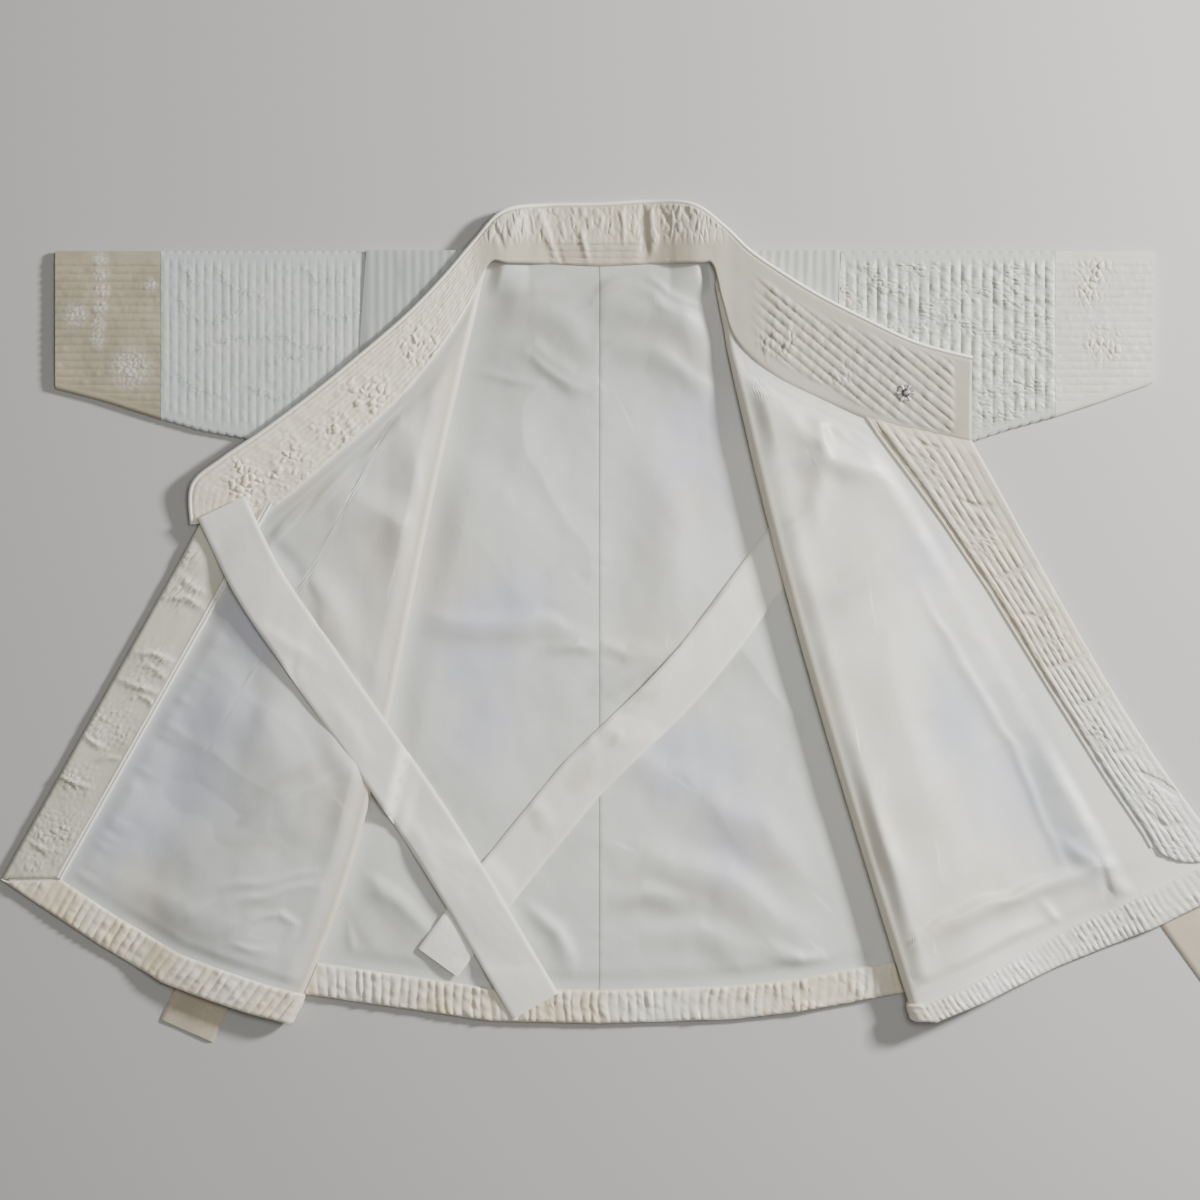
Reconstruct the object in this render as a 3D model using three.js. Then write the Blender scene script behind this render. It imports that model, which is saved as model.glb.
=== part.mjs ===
// Quilted hanbok jacket for a small child, laid open on its back.
//
// Millimetres. +X runs to the viewer's right along the sleeves, +Y towards the neck, +Z up from
// the surface that the jacket lies on. The origin is the middle of the underside.
// The back lies with its padded cloth down. Each front is one flat panel, turned over along a
// slanted fold line, so that its lining faces up. Every cloth piece is a closed wall, and the
// sewn channels are raised in the outer points over a plain inside.

import * as THREE from 'three';

// Cloth
const SEAM_GAP = 0.3;
const SHELL_WALL = 2.0;
const LINING_WALL = 1.0;
const FACING_WALL = 1.4;
const TIE_WALL = 1.6;
const RIB_HEIGHT = 1.0;
const BODY_PITCH = 7.1;
const HEM_BAND = 26;

// Layers, counted up from the surface below
const BACK_LINING_LOW = SHELL_WALL + SEAM_GAP;
const BACK_LINING_HIGH = BACK_LINING_LOW + LINING_WALL;
const LEG_LINING_LOW = BACK_LINING_HIGH + SEAM_GAP;
const LEG_MIDDLE = LEG_LINING_LOW + LINING_WALL + SEAM_GAP + SHELL_WALL / 2;
const FLAT_FOLD_RADIUS = (SHELL_WALL + 2 * RIB_HEIGHT + SEAM_GAP) / 2;
const FLOOR_MIDDLE = SHELL_WALL / 2;

// Offsets from the middle of a front's padded cloth, towards its lining
const LINING_OFFSET = SHELL_WALL / 2 + SEAM_GAP;
const FACING_OFFSET = LINING_OFFSET + LINING_WALL + SEAM_GAP;

// Body outline, flat
const CENTRE_X = 2;
const UNDERARM_Y = -153;
const BACK_EDGES = [
  { x: -276, neck: 0, hem: -573 },
  { x: -228, neck: 0, hem: -581 },
  { x: -181, neck: 0, hem: -588 },
  { x: -138, neck: 0, hem: -594 },
  { x: -98, neck: 0, hem: -600 },
  { x: -84, neck: -11.6, hem: -602 },
  { x: 2, neck: -13.4, hem: -604 },
  { x: 96, neck: -11.6, hem: -601 },
  { x: 112, neck: 0, hem: -600 },
  { x: 158, neck: 0, hem: -595 },
  { x: 233, neck: 0, hem: -581 },
  { x: 278, neck: 0, hem: -573 },
];

// Fronts as flat panels in the place that they have when closed. The u axis points from the
// side seam to the front edge, so u is X on the left and -X on the right.
const FRONTS = [
  {
    side: 'left', sign: 1, armhole: -181, seamFoot: -276, edge: 11, facing: -29, flare: 0,
    foldTop: { u: -85, y: -9 }, foldFoot: { u: -240, y: -602 }, bow: 16, bowPeak: 0.72,
    foldPuff: 0, legRise: 0, settle: 20,
    neck: [
      { u: -99, y: 0 }, { u: -91.9, y: -28 }, { u: -88.4, y: -88 }, { u: -81.3, y: -122 },
      { u: -67.1, y: -170 }, { u: -52.9, y: -210 }, { u: -42.3, y: -241 }, { u: -28, y: -279 },
      { u: 11, y: -309 },
    ],
    hem: [
      { u: -276, y: -578 }, { u: -240, y: -603 }, { u: -210, y: -611 }, { u: -169, y: -619 },
      { u: -138, y: -624 }, { u: -82, y: -623 }, { u: -26, y: -619 }, { u: 11, y: -616 },
    ],
  },
  {
    side: 'right', sign: -1, armhole: -190, seamFoot: -278, edge: 16, facing: -40, flare: 19,
    foldTop: { u: -90, y: -9 }, foldFoot: { u: -246, y: -599 }, bow: 11, bowPeak: 0.4,
    foldPuff: 2.4, legRise: 2.6, settle: 80,
    neck: [
      { u: -111.8, y: 0 }, { u: -104.7, y: -50 }, { u: -101.2, y: -97 }, { u: -86.9, y: -117 },
      { u: -62.1, y: -155 }, { u: -37.3, y: -189 }, { u: 16, y: -237 },
    ],
    hem: [
      { u: -278, y: -578 }, { u: -247, y: -599 }, { u: -232, y: -609 }, { u: -191, y: -615 },
      { u: -126, y: -621 }, { u: -52, y: -631 }, { u: 16, y: -637 },
    ],
  },
];
const FLARE_START_Y = -420;
const FLARE_LENGTH = 215;
const SIDE_DROP = 100;
const SLEEVE_DROP = 100;
const SLEEVE_FOOT_Y = -155;

// Sleeves, flattened tubes
const SLEEVE_HEIGHT = 5.2;
const SLEEVE_WALL = 2.0;
const EDGE_ROUND = 3;
const SLEEVES = [
  {
    side: 'left', armhole: -181, cuffSeam: -341, end: -423, channels: 21, cuffChannels: 22,
    foot: [
      { x: -423, y: -108 }, { x: -388, y: -117 }, { x: -341, y: -132 }, { x: -310, y: -141 },
      { x: -266, y: -149 }, { x: -181, y: -153 },
    ],
  },
  {
    side: 'right', armhole: 190, cuffSeam: 358, end: 434, channels: 19, cuffChannels: 20,
    foot: [
      { x: 190, y: -153 }, { x: 295, y: -149 }, { x: 322, y: -140 }, { x: 358, y: -130 },
      { x: 392, y: -119 }, { x: 434, y: -104 },
    ],
  },
];

// Collar, from the left tip round the back of the neck to the right tip
const COLLAR_WALL = 3.0;
const COLLAR_CHANNELS = 8;
const COLLAR_EDGE_WIDTH = 2.6;
const NECK_REST = 35;
const NECK_RISE = 45;
const COLLAR = [
  { ox: -315, oy: -214, ix: -257, iy: -206 },
  { ox: -314, oy: -184, ix: -247, iy: -199 },
  { ox: -292, oy: -165, ix: -234, iy: -189 },
  { ox: -261, oy: -144, ix: -212, iy: -170 },
  { ox: -222, oy: -115, ix: -173, iy: -136 },
  { ox: -183, oy: -83, ix: -140, iy: -103 },
  { ox: -146, oy: -51, ix: -115, iy: -70 },
  { ox: -118, oy: -22, ix: -96, iy: -39 },
  { ox: -94, oy: 6, ix: -83, iy: -12 },
  { ox: -73, oy: 28, ix: -69, iy: -12 },
  { ox: -44, oy: 34, ix: -41, iy: -12 },
  { ox: 2, oy: 35, ix: 2, iy: -14 },
  { ox: 41, oy: 37, ix: 45, iy: -12 },
  { ox: 74, oy: 34, ix: 79, iy: -12 },
  { ox: 98, oy: 17, ix: 90, iy: -14 },
  { ox: 118, oy: -2, ix: 97, iy: -43 },
  { ox: 141, oy: -18, ix: 108, iy: -74 },
  { ox: 170, oy: -36, ix: 139, iy: -101 },
  { ox: 207, oy: -55, ix: 178, iy: -120 },
  { ox: 248, oy: -74, ix: 221, iy: -137 },
  { ox: 292, oy: -86, ix: 291, iy: -152 },
];

// Ties, each a flat doubled strip along a line of middle points
const TIES = [
  {
    name: 'tie_inner_left', width: 41, on: 'top',
    path: [
      { x: -292, y: -201 }, { x: -271, y: -246 }, { x: -218, y: -326 }, { x: -169, y: -396 },
      { x: -117, y: -474 }, { x: -76, y: -542 }, { x: -48, y: -590 },
    ],
  },
  {
    name: 'tie_inner_right', width: 38, on: 'back',
    path: [
      { x: 181, y: -186 }, { x: 141, y: -239 }, { x: 109, y: -282 }, { x: 80, y: -320 },
      { x: 52, y: -351 }, { x: 26, y: -376 }, { x: -9, y: -410 }, { x: -40, y: -447 },
      { x: -77, y: -493 }, { x: -105, y: -530 }, { x: -124, y: -556 },
    ],
  },
  {
    name: 'tie_outer_left', width: 45, on: 'floor',
    path: [
      { x: -236, y: -246 }, { x: -256, y: -350 }, { x: -277, y: -450 }, { x: -294, y: -530 },
      { x: -308, y: -580 }, { x: -321, y: -610 },
    ],
  },
  {
    name: 'tie_outer_right', width: 45, on: 'floor',
    path: [
      { x: 287, y: -190 }, { x: 318, y: -270 }, { x: 362, y: -360 }, { x: 408, y: -440 },
      { x: 463, y: -519 }, { x: 494, y: -562 },
    ],
  },
];
const TIE_STEP = 17;
const TIE_REACH = 15;
const TIE_SLOPE = 0.3;

// Soft folds of the back lining
const LINING_FOLDS = [
  { x0: -72, y0: -70, x1: 0, y1: -100, width: 13, height: 2.6 },
  { x0: 8, y0: -72, x1: 90, y1: -125, width: 15, height: 2.8 },
  { x0: -130, y0: -296, x1: -4, y1: -290, width: 9, height: 1.6 },
  { x0: -190, y0: -505, x1: -90, y1: -548, width: 14, height: 2.4 },
  { x0: 40, y0: -470, x1: 180, y1: -545, width: 15, height: 2.8 },
];

const SNAP = { x: 240, y: -112, radius: 6.5, height: 3.2 };

const clamp01 = (value) => Math.min(1, Math.max(0, value));
const lerp = THREE.MathUtils.lerp;

function smooth(value) {
  const t = clamp01(value);
  return t * t * (3 - 2 * t);
}

// Straight-line reading of a table whose "from" column rises
function readTable(table, from, to, value) {
  if (value <= table[0][from]) return table[0][to];
  for (let i = 1; i < table.length; i += 1) {
    const a = table[i - 1];
    const b = table[i];
    if (value <= b[from]) return lerp(a[to], b[to], (value - a[from]) / (b[from] - a[from]));
  }
  return table[table.length - 1][to];
}

// Closed surface from points and triangles: equal points become one, empty triangles go, and
// the faces are turned so that they point out
function weldedGeometry(points, faces) {
  const step = 1e-3;
  const places = new Map();
  const kept = [];
  const index = points.map((p) => {
    const key = [p.x, p.y, p.z].map((c) => Math.round(c / step)).join(' ');
    if (!places.has(key)) {
      places.set(key, kept.length);
      kept.push(p);
    }
    return places.get(key);
  });
  const triangles = faces
    .map((face) => face.map((i) => index[i]))
    .filter(([a, b, c]) => a !== b && b !== c && c !== a);
  let volume = 0;
  for (const [a, b, c] of triangles) {
    volume += kept[a].dot(new THREE.Vector3().crossVectors(kept[b], kept[c]));
  }
  if (volume < 0) triangles.forEach((face) => face.reverse());
  const geometry = new THREE.BufferGeometry();
  geometry.setFromPoints(kept);
  geometry.setIndex(triangles.flat());
  geometry.computeVertexNormals();
  return geometry;
}

// Wall between a fine outer grid and a plain inner grid. Both are lists of columns. Inner
// column k lies behind outer column stations[k]. A tube is closed round its rows or columns.
function wallGeometry(outer, inner, stations, closed = 'none') {
  const rows = outer[0].length;
  const points = [...outer.flat(), ...inner.flat()];
  const innerStart = outer.length * rows;
  const outerAt = (i, j) => i * rows + j;
  const innerAt = (k, j) => innerStart + k * rows + j;
  const faces = [];
  const quad = (a, b, c, d) => faces.push([a, b, c], [a, c, d]);
  for (let j = 0; j < rows - 1; j += 1) {
    for (let i = 0; i < outer.length - 1; i += 1) {
      quad(outerAt(i, j), outerAt(i, j + 1), outerAt(i + 1, j + 1), outerAt(i + 1, j));
    }
    for (let k = 0; k < inner.length - 1; k += 1) {
      quad(innerAt(k, j), innerAt(k + 1, j), innerAt(k + 1, j + 1), innerAt(k, j + 1));
    }
    if (closed !== 'columns') {
      const last = outer.length - 1;
      const end = inner.length - 1;
      quad(innerAt(0, j), innerAt(0, j + 1), outerAt(0, j + 1), outerAt(0, j));
      quad(outerAt(last, j), outerAt(last, j + 1), innerAt(end, j + 1), innerAt(end, j));
    }
  }
  if (closed !== 'rows') {
    const foot = rows - 1;
    for (let k = 0; k < inner.length - 1; k += 1) {
      for (let i = stations[k]; i < stations[k + 1]; i += 1) {
        faces.push([innerAt(k, 0), outerAt(i, 0), outerAt(i + 1, 0)]);
        faces.push([innerAt(k, foot), outerAt(i + 1, foot), outerAt(i, foot)]);
      }
      faces.push([innerAt(k, 0), outerAt(stations[k + 1], 0), innerAt(k + 1, 0)]);
      faces.push([innerAt(k, foot), innerAt(k + 1, foot), outerAt(stations[k + 1], foot)]);
    }
  }
  return weldedGeometry(points, faces);
}

const everyColumn = (columns) => columns.map((_, i) => i);

const FINISHES = {
  outer_satin: { color: 0xdcd9cb, roughness: 0.5 },
  lining_satin: { color: 0xe2e1dc, roughness: 0.36 },
  cuff_satin: { color: 0xd5cdb9, roughness: 0.42 },
  tie_silk: { color: 0xe9e8e2, roughness: 0.55 },
  edge_white: { color: 0xf3f2ee, roughness: 0.6 },
  snap_metal: { color: 0x6c6868, roughness: 0.35, metalness: 1 },
};
const jacket = new THREE.Group();
jacket.name = 'hanbok_jacket';

function addPiece(name, finish, geometry) {
  const material = new THREE.MeshStandardMaterial({ metalness: 0, ...FINISHES[finish] });
  const mesh = new THREE.Mesh(geometry, material);
  mesh.name = name;
  jacket.add(mesh);
}

// Fronts

// Side seam of a front at a height, in u
function sideSeamU(front, y) {
  const t = clamp01((UNDERARM_Y - y) / (UNDERARM_Y - BACK_EDGES[0].hem));
  return lerp(front.armhole, front.seamFoot, t);
}

// Height of the middle of the padded cloth in the part that isn't turned over
const LEG_RISE_START_Y = -90;
const LEG_RISE_LENGTH = 60;
function legMiddle(front, y) {
  return LEG_MIDDLE + front.legRise * smooth((LEG_RISE_START_Y - y) / LEG_RISE_LENGTH);
}

// The turned flap lies on the body and sleeve, and falls to the surface beyond them
function flapMiddle(front, u, y) {
  const high = legMiddle(front, y) + 2 * FLAT_FOLD_RADIUS;
  const past = smooth((sideSeamU(front, y) - u) / SIDE_DROP);
  const below = smooth((SLEEVE_FOOT_Y - y) / SLEEVE_DROP);
  const rest = FLOOR_MIDDLE + tieSwell(front, u, y);
  return lerp(high, rest, past * below);
}

// A flap that lies on a tie is lifted by the tie
const SWELL_RAMP = 40;
const SWELL_MARGIN = 2;
function tieSwell(front, u, y) {
  const tie = TIES.find((item) => item.on === 'floor' && item.name.endsWith(front.side));
  const distance = distanceToPath(tie.path, u * front.sign, y);
  const lift = TIE_WALL + 3 * SEAM_GAP;
  return lift * smooth((tie.width / 2 + SWELL_RAMP + SWELL_MARGIN - distance) / SWELL_RAMP);
}

function distanceToPath(path, x, y) {
  let best = Infinity;
  for (let i = 1; i < path.length; i += 1) {
    const a = path[i - 1];
    const b = path[i];
    best = Math.min(best, distanceToSegment(a.x, a.y, b.x, b.y, x, y));
  }
  return best;
}

function distanceToSegment(x0, y0, x1, y1, x, y) {
  const length2 = (x1 - x0) ** 2 + (y1 - y0) ** 2;
  const t = clamp01(((x - x0) * (x1 - x0) + (y - y0) * (y1 - y0)) / length2);
  return Math.hypot(x - lerp(x0, x1, t), y - lerp(y0, y1, t));
}

// Directions of the fold line: along it down to the hem, and across it to the front edge
function foldFrame(front) {
  const du = front.foldFoot.u - front.foldTop.u;
  const dy = front.foldFoot.y - front.foldTop.y;
  const length = Math.hypot(du, dy);
  return { du: du / length, dy: dy / length, nu: -dy / length, ny: du / length, length };
}

// Bend radius of the fold, which grows from the neck to a soft puff
const PUFF_LENGTH = 130;
function foldRadius(front, along) {
  return FLAT_FOLD_RADIUS + front.foldPuff * smooth(along / PUFF_LENGTH);
}

// The fold line isn't quite straight: it bows towards the middle of the back
const BOW_REACH = 140;
function foldBow(front, along, length) {
  const t = clamp01(along / length);
  const power = Math.log(0.5) / Math.log(front.bowPeak);
  return front.bow * Math.sin(Math.PI * t ** power);
}

// Place of a flat point of the front once it is folded, at an offset towards the lining
const LEG_WIDTH_TOP = 96;
const LEG_WIDTH_FOOT = 34;
function foldedPoint(front, u, y, offset) {
  const frame = foldFrame(front);
  const ru = u - front.foldTop.u;
  const ry = y - front.foldTop.y;
  const along = ru * frame.du + ry * frame.dy;
  const across = ru * frame.nu + ry * frame.ny;
  const radius = foldRadius(front, along);
  const half = (Math.PI * radius) / 2;
  const leg = legMiddle(front, y);
  const bow = foldBow(front, along, frame.length);
  if (across <= -half) {
    const legWidth = lerp(LEG_WIDTH_TOP, LEG_WIDTH_FOOT, clamp01(along / frame.length));
    const shift = bow * (1 - smooth((-across - half) / legWidth));
    return planPoint(front, frame, along, across + shift, leg - offset);
  }
  if (across < half) {
    const angle = across / radius;
    const reach = -half + (radius + offset) * Math.cos(angle);
    const z = leg + radius + (radius + offset) * Math.sin(angle);
    return planPoint(front, frame, along, reach + bow, z);
  }
  const shift = bow * (1 - smooth((across - half) / BOW_REACH));
  const place = planPoint(front, frame, along, shift - across, 0);
  const settled = smooth((across - half) / front.settle);
  const middle = lerp(leg + 2 * radius, flapMiddle(front, place.x * front.sign, place.y), settled);
  place.z = middle + offset;
  return place;
}

function planPoint(front, frame, along, across, z) {
  const u = front.foldTop.u + along * frame.du + across * frame.nu;
  const y = front.foldTop.y + along * frame.dy + across * frame.ny;
  return new THREE.Vector3(u * front.sign, y, z);
}

// Flat columns of a front, side seam to front edge. A crest column lies between two seams.
// The plain inside and the lining keep the coarse columns, among them the neck's corners.
const ARMHOLE_STEP = 0.8;
const COARSE_STEP = 8;
const FACING_STEP = 4;
const SIDE_COLUMNS = 4;
function frontColumns(front) {
  const half = BODY_PITCH / 2;
  const columns = [];
  for (let k = 0; front.edge - k * half > front.armhole + half; k += 1) {
    columns.unshift({ u: front.edge - k * half, crest: k % 2 === 1, coarse: false });
  }
  const facingColumn = nearestColumn(columns, front.facing);
  const neckColumn = nearestColumn(columns, front.neck[0].u);
  columns.forEach((column, i) => {
    column.facing = i >= facingColumn;
    column.coarse = column.facing
      ? (facingColumn - i) % FACING_STEP === 0
      : i < neckColumn && (neckColumn - i) % COARSE_STEP === 0;
  });
  front.neck.forEach(({ u }) => { columns[nearestColumn(columns, u)].coarse = true; });
  columns[columns.length - 1].coarse = true;
  columns.unshift({ u: front.armhole + ARMHOLE_STEP, crest: false, coarse: true });
  for (let k = 0; k <= SIDE_COLUMNS; k += 1) {
    const u = lerp(front.armhole, front.seamFoot, k / SIDE_COLUMNS);
    columns.unshift({ u, crest: false, coarse: true });
  }
  return columns;
}

function nearestColumn(columns, u) {
  let best = 0;
  columns.forEach((column, i) => {
    if (Math.abs(column.u - u) < Math.abs(columns[best].u - u)) best = i;
  });
  return best;
}

// Heights of the rows down one flat column: leg, bend, flap to the hem band, hem
const LEG_ROWS = 3;
const BEND_ROWS = 4;
const FLAP_ROWS = 7;
function columnRows(front, u) {
  const frame = foldFrame(front);
  const t = (front.armhole - u) / (front.armhole - front.seamFoot);
  const seamY = lerp(UNDERARM_Y, BACK_EDGES[0].hem, t);
  const top = u <= front.armhole ? seamY : readTable(front.neck, 'u', 'y', u);
  const foot = readTable(front.hem, 'u', 'y', u);
  const yAt = (across) => {
    const y = front.foldTop.y + (across - (u - front.foldTop.u) * frame.nu) / frame.ny;
    return Math.min(top, Math.max(foot, y));
  };
  const crossingY = front.foldTop.y - ((u - front.foldTop.u) * frame.nu) / frame.ny;
  const crossing = (u - front.foldTop.u) * frame.du + (crossingY - front.foldTop.y) * frame.dy;
  const half = (Math.PI * foldRadius(front, crossing)) / 2;
  const rows = [];
  const bendTop = yAt(-half);
  for (let k = 0; k < LEG_ROWS; k += 1) rows.push(lerp(top, bendTop, k / LEG_ROWS));
  for (let k = 0; k <= BEND_ROWS; k += 1) rows.push(yAt(lerp(-half, half, k / BEND_ROWS)));
  const bendFoot = yAt(half);
  const bandTop = Math.min(bendFoot, Math.max(foot, foot + HEM_BAND));
  for (let k = 1; k <= FLAP_ROWS; k += 1) rows.push(lerp(bendFoot, bandTop, k / FLAP_ROWS));
  rows.push(foot);
  return rows;
}

// Front edges that flare at the hem carry the facing's columns with them
function flaredU(front, u, y) {
  const share = clamp01((u - front.facing) / (front.edge - front.facing));
  const drop = clamp01((FLARE_START_Y - y) / FLARE_LENGTH);
  return u + front.flare * share * drop * drop;
}

function columnPoints(front, column, offset) {
  return columnRows(front, column.u).map((y) => {
    return foldedPoint(front, flaredU(front, column.u, y), y, offset);
  });
}

// Channel height at a flat point: none in the bend or where the cloth rests on the surface
const BEND_FADE = 8;
function channelHeight(front, u, y) {
  const frame = foldFrame(front);
  const ru = u - front.foldTop.u;
  const ry = y - front.foldTop.y;
  const along = ru * frame.du + ry * frame.dy;
  const across = ru * frame.nu + ry * frame.ny;
  const half = (Math.PI * foldRadius(front, along)) / 2;
  const clearOfBend = smooth((Math.abs(across) - half) / BEND_FADE);
  const height = RIB_HEIGHT * clearOfBend;
  if (across < 0) return height;
  const low = foldedPoint(front, u, y, -SHELL_WALL / 2).z;
  return Math.min(height, Math.max(0, low - TIE_WALL - SEAM_GAP));
}

function shellOuterPoints(front, column) {
  return columnRows(front, column.u).map((y) => {
    const u = flaredU(front, column.u, y);
    const rib = column.crest ? channelHeight(front, u, y) : 0;
    return foldedPoint(front, u, y, -SHELL_WALL / 2 - rib);
  });
}

function buildFront(front) {
  const columns = frontColumns(front);
  const coarse = columns.filter((column) => column.coarse);
  const stations = coarse.map((column) => columns.indexOf(column));
  const shellOuter = columns.map((column) => shellOuterPoints(front, column));
  const shellInner = coarse.map((column) => columnPoints(front, column, SHELL_WALL / 2));
  addPiece(`front_${front.side}`, 'outer_satin', wallGeometry(shellOuter, shellInner, stations));

  const liningLow = coarse.map((column) => columnPoints(front, column, LINING_OFFSET));
  const liningHigh = coarse.map((column) => {
    return columnPoints(front, column, LINING_OFFSET + LINING_WALL);
  });
  trimFoot(liningLow);
  trimFoot(liningHigh);
  const lining = wallGeometry(liningHigh, liningLow, everyColumn(liningHigh));
  addPiece(`lining_front_${front.side}`, 'lining_satin', lining);

  buildFrontFacing(front, columns, coarse);
  buildFrontHem(front, columns, coarse);
}

// The lining stops a little short of the hem
const LINING_SHORT = 0.12;
function trimFoot(grid) {
  for (const column of grid) {
    const last = column.length - 1;
    column[last].lerp(column[last - 1], LINING_SHORT);
  }
}

// Facing down the front edge, mitred at the hem, with a corded line along its inner side
const PIPING_WIDTH = 2.4;
const PIPING_HEIGHT = 2.2;
const FLAP_START = LEG_ROWS + BEND_ROWS;
function buildFrontFacing(front, columns, coarse) {
  const band = columns.filter((column) => column.facing);
  const carried = coarse.filter((column) => column.facing);
  const inside = band[0].u;
  const width = front.edge - inside;
  const shareOf = (u) => (u - inside) / width;
  const mitred = (points, u) => {
    const last = points.length - 1;
    points[last] = points[last - 1].clone().lerp(points[last], shareOf(u));
    return points.slice(FLAP_START);
  };
  const pointsAt = (u, height) => mitred(columnPoints(front, { u }, height), u);
  const lowAt = (u) => {
    const after = carried.findIndex((column) => column.u >= u);
    const a = carried[Math.max(0, after - 1)].u;
    const b = carried[Math.max(1, after)].u;
    const low = columnPoints(front, { u: a }, FACING_OFFSET);
    columnPoints(front, { u: b }, FACING_OFFSET).forEach((p, j) => {
      low[j].lerp(p, (u - a) / (b - a));
    });
    return mitred(low, u);
  };
  const start = inside + PIPING_WIDTH + SEAM_GAP;
  const topColumns = [{ u: start, crest: false }, ...band.filter((column) => column.u > start)];
  const top = topColumns.map((column) => {
    const rib = column.crest ? RIB_HEIGHT : 0;
    return pointsAt(column.u, FACING_OFFSET + FACING_WALL + rib);
  });
  const lowColumns = [topColumns[0], ...carried.filter((column) => column.u > start)];
  const stations = lowColumns.map((column) => topColumns.indexOf(column));
  const low = lowColumns.map((column) => lowAt(column.u));
  addPiece(`facing_front_${front.side}`, 'outer_satin', wallGeometry(top, low, stations));

  const pipingHeights = [1, 1.25, 1];
  const withoutFoot = (points) => points.slice(0, -1);
  const pipingTop = pipingHeights.map((height, i) => {
    const u = inside + (i * PIPING_WIDTH) / 2;
    return withoutFoot(pointsAt(u, FACING_OFFSET + PIPING_HEIGHT * height));
  });
  const pipingLow = [0, 1].map((t) => withoutFoot(lowAt(inside + t * PIPING_WIDTH)));
  const piping = wallGeometry(pipingTop, pipingLow, [0, 2]);
  addPiece(`piping_front_${front.side}`, 'edge_white', piping);
}

// Hem facing of a flap: the padded cloth turned up, its channels square to the hem. It ends
// in a mitre that runs from the inner side of the front facing to the corner.
const MITRE_GAP = 1.8;
const LEAST_BAND = 8;
function buildFrontHem(front, columns, coarse) {
  const inside = columns.find((column) => column.facing).u;
  const bandRow = FLAP_START + FLAP_ROWS;
  const turned = (column) => {
    const rows = columnRows(front, column.u);
    return rows[bandRow] - rows[bandRow + 1] > LEAST_BAND;
  };
  const shareOf = (u) => {
    const past = (u - inside) / (front.edge - inside);
    return past <= 0 ? 0 : Math.min(1, past + MITRE_GAP / HEM_BAND);
  };
  const footOf = (u, offset) => columnPoints(front, { u }, offset).slice(bandRow);
  const cut = ([high, foot], u) => {
    const start = high.clone().lerp(foot, shareOf(u));
    return [start, start.clone().lerp(foot, 0.5), foot];
  };
  const tip = { u: lerp(front.edge, inside, MITRE_GAP / HEM_BAND), crest: false, coarse: true };
  const used = [...columns.filter((column) => turned(column) && column.u < tip.u - 1), tip];
  const top = used.map((column) => {
    const rib = column.crest ? RIB_HEIGHT : 0;
    return cut(footOf(column.u, FACING_OFFSET + FACING_WALL + rib), column.u);
  });
  const between = (list, u) => {
    const after = list.find((column) => column.u >= u);
    const before = list[list.indexOf(after) - 1];
    const low = footOf(before.u, FACING_OFFSET);
    const share = (u - before.u) / (after.u - before.u);
    footOf(after.u, FACING_OFFSET).forEach((p, j) => low[j].lerp(p, share));
    return cut(low, u);
  };
  const carried = used.filter((column, i) => column.coarse || i === 0);
  const low = carried.map((column) => between(coarse, column.u));
  const stations = carried.map((column) => used.indexOf(column));
  addPiece(`hem_facing_${front.side}`, 'outer_satin', wallGeometry(top, low, stations));
}

// Back

// How far a point of the back lies inside the nearer fold, where the lining shows
function insideFolds(x, y) {
  return Math.min(...FRONTS.map((front) => {
    const frame = foldFrame(front);
    const ru = x * front.sign - front.foldTop.u;
    const ry = y - front.foldTop.y;
    const along = ru * frame.du + ry * frame.dy;
    return ru * frame.nu + ry * frame.ny - foldBow(front, along, frame.length);
  }));
}

const FOLD_CLEAR = 6;
const FOLD_FADE = 30;
const BAND_FADE = 20;
const BAND_CLEAR = 14;
function liningSwell(x, y) {
  const open = smooth((insideFolds(x, y) - FOLD_CLEAR) / FOLD_FADE);
  const bandTop = readTable(BACK_EDGES, 'x', 'hem', x) + HEM_BAND;
  const clear = open * smooth((y - bandTop - BAND_CLEAR) / BAND_FADE);
  const swell = LINING_FOLDS.reduce((sum, fold) => {
    const distance = distanceToSegment(fold.x0, fold.y0, fold.x1, fold.y1, x, y);
    return sum + fold.height * Math.exp(-((distance / fold.width) ** 2));
  }, 0);
  return clear * swell;
}

// Point of one half of the back: across 0 at the middle seam to 1 at the side, down 0 to 1
function backPoint(front, across, down, low, z) {
  const seam = CENTRE_X - (front.sign * SEAM_GAP) / 2;
  const underarm = clamp01((down - UNDERARM_DOWN) / (1 - UNDERARM_DOWN));
  const side = lerp(front.armhole, front.seamFoot, underarm) * front.sign;
  const x = lerp(seam, side, across);
  const top = readTable(BACK_EDGES, 'x', 'neck', x);
  const foot = readTable(BACK_EDGES, 'x', 'hem', x) + low;
  return new THREE.Vector3(x, lerp(top, foot, down), z);
}

function backGrid(front, across, down, low, height) {
  return across.map((a) => down.map((d) => {
    const point = backPoint(front, a, d, low, 0);
    point.z = height(point.x, point.y);
    return point;
  }));
}

const evenSteps = (count) => Array.from({ length: count + 1 }, (_, i) => i / count);

const BACK_ACROSS = [0, 0.17, 0.3, 0.36, 0.42, 0.5, 0.56, 0.62, 0.75, 0.88, 1];
const UNDERARM_DOWN = 0.26;
const LINING_SHORT_OF_HEM = 3;

// Steps down the back, with one at the underarm
function backRows(above, below) {
  const upper = evenSteps(above).map((t) => t * UNDERARM_DOWN);
  const lower = evenSteps(below).slice(1).map((t) => lerp(UNDERARM_DOWN, 1, t));
  return [...upper, ...lower];
}

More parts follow.
